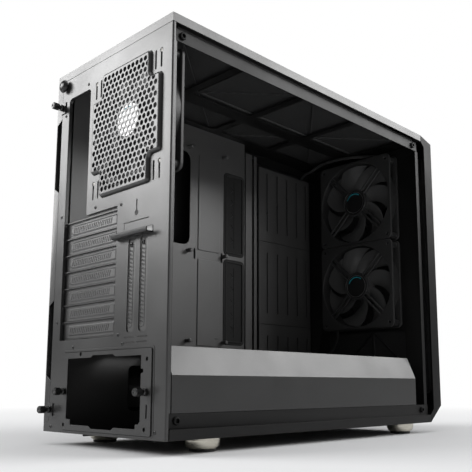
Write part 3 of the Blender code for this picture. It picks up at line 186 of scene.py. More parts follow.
def filleted(loop, radius, steps=5, closed=True):
    # Each corner becomes an arc that touches both of its sides. The radius may differ at each corner.
    loop = np.array(loop, float)
    count = len(loop)
    radii = np.broadcast_to(radius, count)
    smooth = []
    for index in range(count):
        corner = loop[index]
        if radii[index] <= 0 or (not closed and index in (0, count - 1)):
            smooth.append(corner[None])
            continue
        before = loop[index - 1] - corner
        after = loop[(index + 1) % count] - corner
        before, after = before / np.linalg.norm(before), after / np.linalg.norm(after)
        half = math.acos(np.clip(before @ after, -1, 1)) / 2
        if half > math.pi / 2 - 0.01:
            smooth.append(corner[None])
            continue
        centre = corner + (before + after) / np.linalg.norm(before + after) * radii[index] / math.sin(half)
        first = corner + before * radii[index] / math.tan(half) - centre
        last = corner + after * radii[index] / math.tan(half) - centre
        turn = np.linspace(0, 1, steps + 1)[:, None]
        sweep = math.pi - 2 * half
        arc = (np.sin((1 - turn) * sweep) * first + np.sin(turn * sweep) * last) / math.sin(sweep)
        smooth.append(centre + arc)
    return np.concatenate(smooth)


def slotLoop(left, low, right, high, steps=4):
    # A slot with round ends along its longer side.
    return filleted(rectangle(left, low, right, high), min(right - left, high - low) / 2 * 0.998, steps)


def anticlockwise(loop):
    ahead = np.roll(loop, -1, 0)
    return loop if (loop[:, 0] * ahead[:, 1] - loop[:, 1] * ahead[:, 0]).sum() > 0 else loop[::-1]


def flatPattern(outline, holes=(), folds=()):
    # Fills the outline round its holes with triangles, with an edge along each fold.
    loops = [anticlockwise(np.asarray(loop, float)) for loop in [outline, *holes]]
    starts = np.cumsum([0] + [len(loop) for loop in loops])
    points = [Vector(point) for loop in loops for point in loop]
    faces = [list(range(starts[index], starts[index + 1])) for index in range(len(loops))]
    edges = []
    for first, last in folds:
        edges.append((len(points), len(points) + 1))
        points += [Vector(first), Vector(last)]
    made, _, tris, _, _, within = delaunay_2d_cdt(points, edges, faces, 0, 1e-8)
    kept = [tri for tri, owners in zip(tris, within) if owners == [0]]
    return np.array([tuple(point) for point in made]), np.array(kept)


def pressed(outline, holes, place, thickness, edge=0.2 * mm, folds=()):
    # A sheet: both faces of the flat pattern, joined round each rim by a narrow bevel, a wall and a bevel.
    # The place function takes (across, up, through) arrays to points in space.
    flat, tris = flatPattern(outline, holes, folds)
    sides = np.concatenate([tris[:, [0, 1]], tris[:, [1, 2]], tris[:, [2, 0]]])
    _, first, count = np.unique(np.sort(sides, 1), axis=0, return_index=True, return_counts=True)
    rim = sides[first[count == 1]]
    run = flat[rim[:, 1]] - flat[rim[:, 0]]
    run = run / np.maximum(np.linalg.norm(run, axis=1, keepdims=True), 1e-12)
    inward = np.zeros_like(flat)
    for end in (0, 1):
        np.add.at(inward, rim[:, end], np.stack([-run[:, 1], run[:, 0]], -1))
    size = (inward**2).sum(1, keepdims=True)
    inset = flat + np.where(size > 1e-9, 2 * inward / np.maximum(size, 0.4), 0) * edge
    levels = [(inset, 0), (flat, edge), (flat, thickness - edge), (inset, thickness)]
    points = [place(level[:, 0], level[:, 1], np.full(len(flat), through)) for level, through in levels]
    points = np.concatenate(points)
    size = len(flat)
    start, end = rim[:, 0], rim[:, 1]
    wall = np.stack([start, end, end + size, start + size], -1)
    quads = np.concatenate([wall + size * level for level in range(3)])
    faces = np.concatenate([tris + size * 3, tris[:, ::-1]])
    shape = shapeOf(points, quads, faces)
    return tidied(outwards(shape))


def tidied(shape):
    # Drops points that no face uses.
    points, quads, tris = shape
    used = np.unique(np.concatenate([quads.ravel(), tris.ravel()]))
    new = np.zeros(len(points), int)
    new[used] = np.arange(len(used))
    return points[used], new[quads], new[tris]


def plate(axis, outline, start, end, holes=(), edge=0.2 * mm):
    # A flat sheet from start to end along the axis.
    place = lambda across, up, through: placed(axis, across, up, start + through)
    return pressed(outline, holes, place, end - start, edge)


def block(lowest, highest, edge=0.2 * mm):
    return plate("z", rectangle(*lowest[:2], *highest[:2]), lowest[2], highest[2], edge=edge)


def foldedSheet(axis, path, radius, span, thickness, holes=(), steps=4, edge=0.2 * mm):
    # A sheet bent along a path with round bends and carried along the axis over the span.
    # A hole is drawn in the flat: (distance along the path, place along the axis).
    path = filleted(path, radius, steps, closed=False)
    run = np.diff(path, axis=0)
    length = np.concatenate([[0], np.cumsum(np.linalg.norm(run, axis=1))])
    run = run / np.linalg.norm(run, axis=1, keepdims=True)
    side = np.stack([-run[:, 1], run[:, 0]], -1)
    mitre = np.concatenate([side[:1], side[:-1] + side[1:], side[-1:]])
    share = np.where(np.arange(len(path)) % (len(path) - 1), 2, 1)[:, None]
    mitre = mitre * share / (mitre**2).sum(1, keepdims=True)

    def place(distance, along, through):
        walk = np.clip(distance, 0, length[-1])
        across = np.interp(walk, length, path[:, 0]) + through * np.interp(walk, length, mitre[:, 0])
        up = np.interp(walk, length, path[:, 1]) + through * np.interp(walk, length, mitre[:, 1])
        return placed(axis, across, up, along)

    outline = rectangle(0, span[0], length[-1], span[1])
    folds = [((walk, span[0]), (walk, span[1])) for walk in length[1:-1]]
    return pressed(outline, holes, place, thickness, edge, folds)


# Pieces

def settle(name, shape, look, body, slot=None, replaced=(), smooth=32):
    # Puts a shape into a mesh object that rides on its body.
    points, quads, tris = shape
    mesh = bpy.data.meshes.new(name)
    mesh.vertices.add(len(points))
    mesh.vertices.foreach_set("co", np.asarray(points, np.float32).ravel())
    mesh.loops.add(quads.size + tris.size)
    mesh.loops.foreach_set("vertex_index", np.concatenate([quads.ravel(), tris.ravel()]).astype(np.int32))
    mesh.polygons.add(len(quads) + len(tris))
    starts = np.concatenate([np.arange(len(quads)) * 4, quads.size + np.arange(len(tris)) * 3])
    mesh.polygons.foreach_set("loop_start", starts.astype(np.int32))
    mesh.update(calc_edges=True)
    mesh.validate()
    return dressed(name, mesh, look, body, slot, replaced, smooth)


def dressed(name, mesh, look, body, slot, replaced, smooth):
    if smooth:
        mesh.shade_smooth()
        mesh.set_sharp_from_angle(angle=math.radians(smooth))
    mesh.materials.append(look)
    piece = bpy.data.objects.new(name, mesh)
    bpy.context.scene.collection.objects.link(piece)
    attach(piece, body)
    if replaced:
        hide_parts(*replaced)
    return piece


def standsFor(node, shape, look, smooth=32):
    # A finer piece in the place of one CAD node, with that node's body.
    return settle(node + "_detail", shape, look, bodyOf[node], slotOf[node], (node,), smooth)


def eased(node, look, width=0.4 * mm, segments=2):
    # The CAD solid itself, merged, with its sharp edges rounded over.
    shape = bmesh.new()
    shape.from_mesh(nodes[node].data)
    bmesh.ops.remove_doubles(shape, verts=shape.verts[:], dist=0.00001)
    bmesh.ops.dissolve_limit(shape, angle_limit=math.radians(1), verts=shape.verts[:], edges=shape.edges[:])
    mesh = bpy.data.meshes.new(node + "_eased")
    shape.to_mesh(mesh)
    shape.free()
    mesh.materials.clear()
    piece = dressed(node + "_eased", mesh, look, bodyOf[node], slotOf[node], (node,), 30)
    bevel = piece.modifiers.new("ease", "BEVEL")
    bevel.width = width
    bevel.segments = segments
    bevel.limit_method = "ANGLE"
    bevel.angle_limit = math.radians(40)
    bevel.harden_normals = True
    return piece
# Shapes that several pieces share

def inset(loop, distance):
    # Moves each side of a closed anticlockwise loop inwards by the distance.
    loop = np.array(loop, float)
    run = np.roll(loop, -1, 0) - loop
    run = run / np.linalg.norm(run, axis=1, keepdims=True)
    side = np.stack([-run[:, 1], run[:, 0]], -1)
    mitre = side + np.roll(side, 1, 0)
    return loop + mitre * 2 * distance / np.maximum((mitre**2).sum(1, keepdims=True), 0.5)


def rim(axis, loop, profile):
    # A closed profile of (inset, place along the axis) carried round a loop.
    rings = [placed(axis, *inset(loop, inwards).T, along) for inwards, along in profile]
    return outwards(gridShape(np.stack(rings), wrapRows=True, wrapColumns=True))


def screwHead(axis, across, up, seat, radius=2.1 * mm, height=1.1 * mm, facing=1):
    # A pan head whose height is h * (1 - r^4)^0.5, less a cross-shaped recess in its middle.
    depth = height * 0.75
    share = np.array([0.2, 0.36, 0.5, 0.6, 0.66, 0.8, 0.92, 1.0])
    dome = height * np.sqrt(1 - 0.9 * share**4)
    profile = [(0, height - depth), *zip(radius * share, dome), (radius, 0), (0, 0)]

    def recess(rings, along, turn):
        arm = np.minimum(abs(np.cos(turn)), abs(np.sin(turn))) * rings < radius * 0.17
        sunk = arm & (rings < radius * 0.62) & (along > height * 0.1)
        return facing * (along - depth * sunk)

    return turnedShape(profile, axis, placed(axis, across, up, seat), 40, lift=recess)


def screws(axis, places, seat, radius=2.1 * mm, height=1.1 * mm, facing=1):
    return joined([screwHead(axis, across, up, seat, radius, height, facing) for across, up in places])


def keyhole(across, low, high, width, radius, holeAt):
    # A slot with a round hole at one of its ends, as two loops.
    slot = slotLoop(across - width / 2, low, across + width / 2, high)
    return [slot, circle(across, holeAt, radius, 16)]


def cut(start, end, width=0.6 * mm):
    # A thin straight cut between two points.
    start, end = np.array(start), np.array(end)
    run = (end - start) / np.linalg.norm(end - start) * width / 2
    side = np.array([-run[1], run[0]])
    return np.array([start - side, end - side, end + side, start + side])


def profileFrom(start, *pairs):
    # Pairs of a radius or inset and a distance from the start, in millimetres, as metres.
    return [(across * mm, start + along * mm) for across, along in pairs]



# Materials

class Term:
    # A socket of a node tree. Its operators add Math nodes.
    def __init__(self, shader, socket):
        self.shader = shader
        self.socket = socket

    def maths(self, operation, *values):
        return self.shader.node("ShaderNodeMath", {"operation": operation}, dict(enumerate([self, *values])))

    def __add__(self, other):
        return self.maths("ADD", other)

    def __mul__(self, other):
        return self.maths("MULTIPLY", other)

    def __sub__(self, other):
        return self.maths("SUBTRACT", other)

    def __rsub__(self, other):
        return self.shader.node("ShaderNodeMath", {"operation": "SUBTRACT"}, {0: other, 1: self})

    def __truediv__(self, other):
        return self.maths("DIVIDE", other)

    __radd__ = __add__
    __rmul__ = __mul__


class Shader:
    # A material with one Principled shader. node() adds any other node: settings first, then sockets.
    def __init__(self, name, colour, roughness, metallic=0.0, **uniform):
        self.material = bpy.data.materials.new(name)
        self.material.use_nodes = True
        self.tree = self.material.node_tree
        self.surface = self.tree.nodes["Principled BSDF"]
        self.surface.inputs["Base Color"].default_value = (*colour, 1)
        self.surface.inputs["Roughness"].default_value = roughness
        self.surface.inputs["Metallic"].default_value = metallic
        for socket, value in uniform.items():
            self.surface.inputs[socket.replace("_", " ")].default_value = value

    def node(self, kind, settings=None, sockets=None, output=0):
        made = self.tree.nodes.new(kind)
        for setting, value in (settings or {}).items():
            setattr(made, setting, value)
        for socket, value in (sockets or {}).items():
            self.feed(made.inputs[socket], value)
        return Term(self, made.outputs[output])

    def feed(self, socket, value):
        if isinstance(value, Term):
            self.tree.links.new(value.socket, socket)
        else:
            socket.default_value = value

    def use(self, **varying):
        for socket, value in varying.items():
            self.feed(self.surface.inputs[socket.replace("_", " ")], value)
        return self

    def place(self):
        return self.node("ShaderNodeTexCoord", output="Object")

    def noise(self, size, detail=2.0, roughness=0.5, where=None):
        # Soft noise between 0 and 1 whose features are about the size, in metres.
        kind = {"Scale": 1 / size, "Detail": detail, "Roughness": roughness}
        return self.node("ShaderNodeTexNoise", {}, {"Vector": where or self.place(), **kind})

    def spread(self, value, fromLow, fromHigh, toLow, toHigh):
        ends = {"From Min": fromLow, "From Max": fromHigh, "To Min": toLow, "To Max": toHigh}
        return self.node("ShaderNodeMapRange", {}, {"Value": value, **ends})

    def mix(self, share, first, second):
        made = self.tree.nodes.new("ShaderNodeMix")
        made.data_type = "RGBA"
        for socket, value in ((0, share), (6, first), (7, second)):
            self.feed(made.inputs[socket], value)
        return Term(self, made.outputs[2])

    def bump(self, height, distance, strength=1.0):
        return self.node("ShaderNodeBump", {}, {"Height": height, "Distance": distance, "Strength": strength})


def grey(value, warmth=0.0):
    return (value * (1 + warmth), value, value * (1 - warmth), 1)


def powderCoat(name, value, roughness=0.4, grain=0.9 * mm, depth=0.05 * mm, sheen=0.5, warmth=0.01):
    # Fine-textured powder coat: an even orange-peel grain, with a little dust and handling over it.
    shader = Shader(name, grey(value)[:3], roughness, 0.0, Specular_IOR_Level=sheen)
    peel = shader.noise(grain, 2.0, 0.6)
    cloud = shader.noise(60 * mm, 3.0, 0.55)
    speck = shader.noise(0.45 * mm, 1.0, 0.5)
    tone = cloud * 0.35 + speck * 0.65
    darker, lighter = grey(value * 0.82, warmth), grey(value * 1.22, warmth)
    shader.use(
        Base_Color=shader.mix(shader.spread(tone, 0.3, 0.7, 0, 1), darker, lighter),
        Roughness=shader.spread(cloud * 0.6 + peel * 0.4, 0.3, 0.7, roughness - 0.05, roughness + 0.07),
        Normal=shader.bump(peel, depth),
    )
    return shader.material


def moulded(name, value, roughness=0.45, grain=0.5 * mm, depth=0.02 * mm, sheen=0.5, colour=(1, 1, 1)):
    # Injection-moulded plastic with a spark-eroded grain.
    tones = [tuple(channel * value * share for channel in colour) for share in (0.85, 1, 1.15)]
    shader = Shader(name, tones[1], roughness, 0.0, Specular_IOR_Level=sheen)
    grainy = shader.noise(grain, 3.0, 0.6)
    cloud = shader.noise(35 * mm, 2.0, 0.5)
    shader.use(
        Base_Color=shader.mix(cloud, (*tones[0], 1), (*tones[2], 1)),
        Roughness=shader.spread(cloud * 0.5 + grainy * 0.5, 0.3, 0.7, roughness - 0.05, roughness + 0.06),
        Normal=shader.bump(grainy, depth),
    )
    return shader.material


def rubber(name, value):
    shader = Shader(name, grey(value)[:3], 0.75, 0.0, Specular_IOR_Level=0.35, Sheen_Weight=0.15)
    dust = shader.noise(9 * mm, 4.0, 0.6)
    pores = shader.noise(0.4 * mm, 2.0, 0.5)
    shader.use(
        Base_Color=shader.mix(shader.spread(dust, 0.45, 0.75, 0, 1), grey(value), grey(value * 1.7)),
        Roughness=shader.spread(dust, 0.3, 0.7, 0.7, 0.85),
        Normal=shader.bump(pores, 0.03 * mm),
    )
    return shader.material


def metal(name, colour, roughness, grain=0.3 * mm, depth=0.01 * mm):
    shader = Shader(name, colour, roughness, 1.0)
    fine = shader.noise(grain, 2.0, 0.6)
    cloud = shader.noise(12 * mm, 3.0, 0.5)
    worn = tuple(channel * 0.8 for channel in colour)
    shader.use(
        Base_Color=shader.mix(cloud, (*worn, 1), (*colour, 1)),
        Roughness=shader.spread(cloud, 0.3, 0.7, roughness - 0.05, roughness + 0.1),
        Normal=shader.bump(fine, depth),
    )
    return shader.material


def turnedNickel(name):
    # Satin nickel with the fine rings of turning, which run round the vertical axis.
    shader = Shader(name, (0.72, 0.69, 0.6), 0.25, 1.0)
    stretch = shader.node("ShaderNodeMapping", {}, {"Vector": shader.place(), "Scale": (20, 20, 3500)})
    rings = shader.noise(1, 2.0, 0.6, stretch)
    cloud = shader.noise(8 * mm, 2.0, 0.5)
    shader.use(
        Base_Color=shader.mix(cloud, (0.64, 0.61, 0.52, 1), (0.78, 0.75, 0.67, 1)),
        Roughness=shader.spread(rings, 0.3, 0.7, 0.2, 0.34),
        Normal=shader.bump(rings, 0.015 * mm),
    )
    return shader.material


def wovenMesh(name, value, pitch=1.3 * mm):
    # A fine square weave: raised threads where either coordinate is near a whole number of pitches.
    shader = Shader(name, grey(value)[:3], 0.6, 0.0, Specular_IOR_Level=0.4)
    parts = shader.node("ShaderNodeSeparateXYZ", {}, {0: shader.place()})
    axes = [Term(shader, parts.socket.node.outputs[index]) for index in (0, 1)]
    first, second = [(axis * (2 * math.pi / pitch)).maths("COSINE") for axis in axes]
    thread = shader.spread(first.maths("MAXIMUM", second), 0.1, 0.7, 0, 1)
    shader.use(
        Base_Color=shader.mix(thread, grey(value * 0.15), grey(value * 1.4)),
        Roughness=shader.spread(thread, 0, 1, 0.75, 0.5),
        Normal=shader.bump(thread, 0.2 * mm),
    )
    return shader.material


looks = {
    "panel": powderCoat("panel_coat", 0.014, 0.34, sheen=0.9),
    "frame": powderCoat("frame_coat", 0.006, 0.42, sheen=0.25),
    "tray": powderCoat("tray_coat", 0.06, 0.38, sheen=1.0),
    "shroud": powderCoat("shroud_coat", 0.009, 0.34, 1.1 * mm, 0.07 * mm, 0.7),
    "cover": powderCoat("cover_coat", 0.04, 0.35, sheen=1.0),
    "moulded": moulded("moulded_black", 0.004, sheen=0.18),
    "gloss": moulded("smooth_black", 0.01, 0.25, 0.8 * mm, 0.004 * mm),
    "rubber": rubber("rubber_black", 0.012),
    "fan": moulded("fan_black", 0.03, 0.42, 0.6 * mm, 0.015 * mm),
    "blade": moulded("blade_black", 0.075, 0.32, 1.2 * mm, 0.006 * mm),
    "nickel": turnedNickel("turned_nickel"),
    "screw": metal("black_zinc", (0.09, 0.09, 0.09), 0.32),
    "bright": metal("bright_zinc", (0.62, 0.61, 0.58), 0.3),
    "weave": wovenMesh("filter_weave", 0.03),
    "label": moulded("label_black", 0.012, 0.3, 2 * mm, 0.002 * mm),
    "silver": metal("label_silver", (0.6, 0.6, 0.6), 0.35),
    "cyan": moulded("label_cyan", 0.42, 0.4, 2 * mm, 0.002 * mm, colour=(0.05, 0.8, 1)),
}
print("materials made")


# Rear panel and what its openings hold

rear = {
    "bend": 1.5 * mm,
    "seat": at["rear"] - 5 * mm,  # the step behind the left edge
    "postEnd": at["rear"] - 10.5 * mm,
    "lip": 4.5 * mm,
    "right": 104.7 * mm,
    "ledge": low("right_side_panel")[2],
    "flangeLow": low("psu_shroud")[2],
    "flangeHigh": low("top_frame")[2] - 0.3 * mm,
    "notch": 3.4 * mm,
    "slotWidth": 2.7 * mm,
    "slotLength": 22 * mm,
    "slotStep": 9.75 * mm,  # from one fan slot to the next
    "slotEnd": 1.3 * mm,
    "slotHole": 2.5 * mm,
    "tabCuts": (4.5 * mm, 10 * mm),
    "stemHole": 3.6 * mm,
    "supply": (-80 * mm, 22 * mm, 67 * mm, 103 * mm),
    "borderOuter": (-97.6 * mm, 16.7 * mm, 77.5 * mm, 110 * mm),
    "borderInner": (-94.9 * mm, 18.4 * mm, 74.8 * mm, 107.3 * mm),
    "keyhole": {
        "across": -60 * mm,
        "low": 254 * mm,
        "high": 269 * mm,
        "width": 2.2 * mm,
        "radius": 3 * mm,
        "holeAt": 254 * mm,
    },
    "cuts": [((-38, 245), (-82, 245)), ((-38, 245.4), (-38, 237.6))],
    "cutWidth": 0.8 * mm,
    "screws": [
        (45, 434), (95, 407), (95, 275), (95.5, 144), (100, 21), (-31, 268),
        (20.5, 274), (-32.5, 123), (-41, 113), (57, 113), (-100, 22.8),
    ],
}

slots = {
    "left": low("slot_cover_1")[0] + 2 * mm,
    "right": high("slot_cover_1")[0] - 0.7 * mm,
    "low": low("slot_cover_1")[2] - 1.4 * mm,
    "pitch": low("slot_cover_2")[2] - low("slot_cover_1")[2],
    "count": 7,
    "ioWidth": 48.2 * mm,
    "ioHeight": 159 * mm,
    "corner": 1.5 * mm,
    "ioCorner": 5 * mm,
}
slots["high"] = slots["low"] + slots["count"] * slots["pitch"] + 3.8 * mm

uprightCovers = ("upright_slot_cover_1", "upright_slot_cover_2")
fanMiddle = {name: middle(name + "_frame") for name in ("front_fan_upper", "front_fan_lower", "rear_fan")}
fanSize = {
    "half": 70 * mm,
    "corner": 8 * mm,
    "flange": 4 * mm,
    "bore": 67 * mm,
    "wall": 2.4 * mm,
    "holes": 62.25 * mm,
    "holeRadius": 2.2 * mm,
    "postRadius": 4.6 * mm,
    "hub": 22.5 * mm,
    "strut": 3.4 * mm,
    "strutDepth": 3.6 * mm,
    "strutGap": 3.6 * mm,
    "blades": 7,
    "tip": 65.6 * mm,
    "hubTurn": 21.9 * mm,
}


def rearFace(loop):
    # From places on the rear face to distances along the folded sheet.
    loop = np.asarray(loop)
    return np.stack([at["right"] - loop[:, 0], loop[:, 1]], -1)


def cardSlotsLoop():
    # The connector opening and the card slots in one L-shaped loop.
    head = slots["high"] + slots["ioHeight"]
    ioLeft = slots["right"] - slots["ioWidth"]
    corners = [(slots["left"], slots["low"]), (slots["right"], slots["low"]), (slots["right"], head)]
    corners += [(ioLeft, head), (ioLeft, slots["high"]), (slots["left"], slots["high"])]
    small, large = slots["corner"], slots["ioCorner"]
    return filleted(corners, [small, small, large, large, small, small])


def crossLoop(margin=0.0):
    # The grille's outline: a wide band across the fan and a narrower, taller one.
    wide, narrow, tall, short = 65.5 * mm, 46.5 * mm, 75.5 * mm, 45 * mm
    corners = [(narrow, -tall), (narrow, -short), (wide, -short)]
    corners += [(across, -up) for across, up in corners[::-1]]
    corners += [(-across, up) for across, up in corners[::-1]]
    centre = middle("rear_fan_grille")[[0, 2]]
    loop = inset(np.array(corners) + centre, margin)
    return filleted(loop, 5 * mm - margin * np.array([1, -1, 1, 1, -1, 1, 1, -1, 1, 1, -1, 1]), 6)


def uprightLoop(node, margin):
    # The slot that an upright cover shows through.
    (left, _, base), (right, _, top) = low(node), high(node)
    loop = rectangle(left + margin, base + margin, right - margin, top - margin)
    return filleted(loop, 4 * mm, 5)


def rearHoles():
    fanX, _, fanZ = fanMiddle["rear_fan"]
    holes = [cardSlotsLoop(), crossLoop()]
    for reach in (fanSize["holes"], fanSize["holes"] - rear["slotStep"]):
        radius = rear["slotHole"] if reach == fanSize["holes"] else rear["slotWidth"] / 2
        for across in (fanX - reach, fanX + reach):
            for up in (fanZ - fanSize["holes"], fanZ + fanSize["holes"]):
                end = up + rear["slotEnd"]
                start = end - rear["slotLength"]
                holes += keyhole(across, start, end, rear["slotWidth"], radius, end - radius)
    for node in uprightCovers:
        holes.append(uprightLoop(node, 1.5 * mm))
        left, right = low(node)[0] - 1 * mm, high(node)[0] + 1 * mm
        for drop in rear["tabCuts"]:
            base = low(node)[2] - drop
            holes.append(slotLoop(left, base, right, base + 1 * mm))
    holes.append(filleted(rectangle(*rear["supply"]), 3 * mm))
    holes += keyhole(**rear["keyhole"])
    holes.append(circle(*middle("release_button")[[0, 2]], rear["stemHole"], 20))
    for start, end in rear["cuts"]:
        holes.append(cut(np.array(start) * mm, np.array(end) * mm, rear["cutWidth"]))
    return holes


def makeRearPanel():
    wall = at["right"] - at["left"]
    notches = [
        rectangle(wall + rear["notch"], -1, wall + 1, rear["flangeLow"]),
        rectangle(wall + rear["notch"], rear["flangeHigh"], wall + 1, 1),
        rectangle(-1, rear["ledge"], at["right"] - rear["right"], 1),
    ]
    path = [(at["right"], at["rear"]), (at["left"], at["rear"]), (at["left"], rear["seat"])]
    path += [(at["flange"], rear["seat"]), (at["flange"], rear["postEnd"])]
    base, head = at["base"], at["skirt"] - 0.3 * mm
    holes = [rearFace(hole) for hole in rearHoles()] + notches
    shapes = [foldedSheet("z", path, rear["bend"], (base, head), at["sheet"], holes, edge=0.25 * mm)]
    deep = at["rear"] - rear["lip"]
    around = inset(cardSlotsLoop(), -1 * mm)
    shapes.append(plate("y", around, deep, at["rear"] - 0.95 * mm, [cardSlotsLoop()]))
    left, right = slots["left"] - 0.5 * mm, slots["right"] + 0.5 * mm
    for index in range(1, slots["count"] + 1):
        up = slots["low"] + 1.1 * mm + index * slots["pitch"]
        shapes.append(block((left, deep, up - 0.9 * mm), (right, deep + 1.6 * mm, up + 0.9 * mm), 0.35 * mm))
    outer = filleted(rectangle(*rear["borderOuter"]), 4 * mm)
    inner = filleted(rectangle(*rear["borderInner"]), 2.5 * mm)
    shapes.append(plate("y", outer, at["rear"] - 0.4 * mm, at["rear"] + 0.5 * mm, [inner], 0.35 * mm))
    flange = rectangle(at["left"] + 2 * mm, deep, rear["right"], at["rear"] - 1.2 * mm)
    shapes.append(plate("z", flange, head - 1 * mm, head))
    standsFor("rear_panel", joined(shapes), looks["panel"])


def makeRearScrews():
    places = [(across * mm, up * mm) for across, up in rear["screws"]]
    rivets = screws("y", places, at["rear"], 2.0 * mm, 0.8 * mm)
    settle("rear_rivets", rivets, looks["screw"], "chassis", "screw_black")
    fanX, _, fanZ = fanMiddle["rear_fan"]
    reach = fanSize["holes"]
    fixings = [(fanX + side * reach, fanZ + end * reach - 1.2 * mm) for side in (-1, 1) for end in (-1, 1)]
    heads = screws("y", fixings, at["rear"] - 1.2 * mm, 2.3 * mm, 1.1 * mm)
    settle("fan_screws", heads, looks["bright"], "chassis", "screw_black")


grille = {
    "rise": 4 * mm,
    "skin": 0.8 * mm,
    "shoulder": [(0.3, -0.9), (0.5, 0.6), (0.9, 1.9), (1.5, 2.9), (2.2, 3.5), (3.0, 3.85), (3.8, 4.0)],
    "pitch": 7.7 * mm,
    "radius": 2.9 * mm,
    "wide": 62 * mm,  # how far the holes go from the middle: across and up in the band, then in the cross
    "short": 42 * mm,
    "narrow": 43 * mm,
    "tall": 72.5 * mm,
}


def makeGrille():
    # A sheet raised behind a rounded shoulder, with rows of round holes, each row moved on by half a hole.
    face = at["rear"] + grille["rise"]
    profile = profileFrom(at["rear"], *grille["shoulder"])
    profile += [(across + 0.5 * mm, along - grille["skin"]) for across, along in profile[::-1]]
    loop = crossLoop()
    shapes = [rim("y", loop, profile)]
    pitch, radius = grille["pitch"], grille["radius"]
    centre = middle("rear_fan_grille")[[0, 2]]
    rows = np.arange(-14, 15)
    across, up = np.meshgrid(rows * pitch, rows * pitch * math.sqrt(0.75))
    across = across + (rows % 2)[:, None] * pitch / 2
    band = (abs(across) < grille["wide"] - radius * 0.6) & (abs(up) < grille["short"])
    column = (abs(across) < grille["narrow"]) & (abs(up) < grille["tall"] - radius * 0.6)
    kept = band | column
    holes = [circle(x, z, radius, 14) for x, z in zip(across[kept] + centre[0], up[kept] + centre[1])]
    shapes.append(plate("y", inset(loop, 3.4 * mm), face - 0.9 * mm, face, holes, 0.18 * mm))
    standsFor("rear_fan_grille", joined(shapes), looks["panel"])


cover = {
    "raise": 0.25 * mm,
    "thick": 0.7 * mm,
    "halfHeight": 6.2 * mm,
    "ventHalf": 3.4 * mm,
    "ventPitch": 3.9 * mm,
    "ventWidth": 1.9 * mm,
    "ventLean": 2.2 * mm,
}


def makeSlotCover(node):
    # A raised middle with slanted vents, which narrows to a point near the board.
    (left, back, base), (right, face, top) = low(node), high(node)
    mid, half = (base + top) / 2, cover["halfHeight"]
    outer = [(left + 8 * mm, mid - half), (right - 14 * mm, mid - half), (right - 7 * mm, mid)]
    outer += [(right - 14 * mm, mid + half), (left + 8 * mm, mid + half)]
    outer = filleted(outer, 2 * mm, 3)
    foot, head = mid - cover["ventHalf"], mid + cover["ventHalf"]
    vents = []
    for start in np.arange(left + 15 * mm, right - 18 * mm, cover["ventPitch"]):
        end = start + cover["ventLean"]
        width = cover["ventWidth"]
        vent = [(start, foot), (start + width, foot), (end + width, head), (end, head)]
        vent = filleted(vent, 0.5 * mm, 1)
        vents.append(np.stack([left + right - vent[:, 0], vent[:, 1]], -1)[::-1])
    raised, under = face + cover["raise"], face - cover["thick"]
    outline = filleted(rectangle(left, base, right, top), 0.8 * mm, 2)
    shapes = [plate("y", outline, face - 1.4 * mm, under, [inset(outer, 0.2 * mm)])]
    slope = [(0, under), (1.5 * mm, raised), (1.6 * mm, raised - 0.6 * mm), (0.1 * mm, face - 1.3 * mm)]
    shapes.append(rim("y", outer, slope))
    shapes.append(plate("y", inset(outer, 1.6 * mm), raised - 0.6 * mm, raised, vents, 0.12 * mm))
    shapes.append(block((left, back, base + 2 * mm), (left + 1 * mm, face - 1.2 * mm, top - 2 * mm)))
    for up in (base + 1.6 * mm, top - 1.6 * mm):
        start = (left + 4 * mm, face - 0.8 * mm, up - 0.5 * mm)
        shapes.append(block(start, (right - 2 * mm, face - 0.2 * mm, up + 0.5 * mm), 0.25 * mm))
    standsFor(node, joined(shapes), looks["cover"])


upright = {"ventHalf": 2.5 * mm, "ventPitch": 4.3 * mm, "ventHeight": 1.7 * mm, "ventLean": 1.8 * mm}


def makeUprightCovers():
    # A narrow vented strip, with a screw at its head.
    heads = []
    for node in uprightCovers:
        (left, back, base), (right, face, top) = low(node), high(node)
        outline = filleted(rectangle(left, base, right, top), 5 * mm, 4)
        centre = right - 5.8 * mm
        start, end = centre - upright["ventHalf"], centre + upright["ventHalf"]
        vents = []
        for up in np.arange(base + 10 * mm, top - 15 * mm, upright["ventPitch"]):
            lean = up + upright["ventLean"]
            tall = upright["ventHeight"]
            vent = [(start, up), (end, lean), (end, lean + tall), (start, up + tall)]
            vents.append(filleted(vent, 0.5 * mm, 1))
        strip = plate("y", outline, back, face, vents, 0.15 * mm)
        bead = rectangle(centre - 4.4 * mm, base + 6 * mm, centre + 4.4 * mm, top - 5 * mm)
        profile = profileFrom(face, (0, -0.1), (0.5, 0.5), (1.1, 0.5), (1.5, -0.1))
        standsFor(node, joined([strip, rim("y", filleted(bead, 4 * mm, 4), profile)]), looks["cover"])
        heads.append((centre, top - 9 * mm))
    heads = screws("y", heads, at["rear"] - 1 * mm, 2.6 * mm, 1.4 * mm)
    settle("upright_screws", heads, looks["screw"], "chassis", "screw_black")


bracket = {
    # The notched opening, anticlockwise from its lower left, in millimetres
    "opening": [
        (-77, 33), (-74, 30), (-69, 30), (-69, 25), (-31, 25), (-26, 22.2), (12, 22.2),
        (17, 25), (55, 25), (55, 31), (64, 31), (64, 100), (17, 100), (12, 102.5),
        (-26, 102.5), (-31, 100), (-77, 100), (-77, 86), (-81, 86), (-81, 82), (-77, 82),
    ],
    "holes": [(69.2, 24.7), (-84.4, 25.2), (37.3, 104.6), (-87, 96)],
    "holeRadius": 2.1 * mm,
    "screwHole": 2.3 * mm,
    "slot": (-88.5 * mm, 36 * mm, -86.5 * mm, 50 * mm),
}


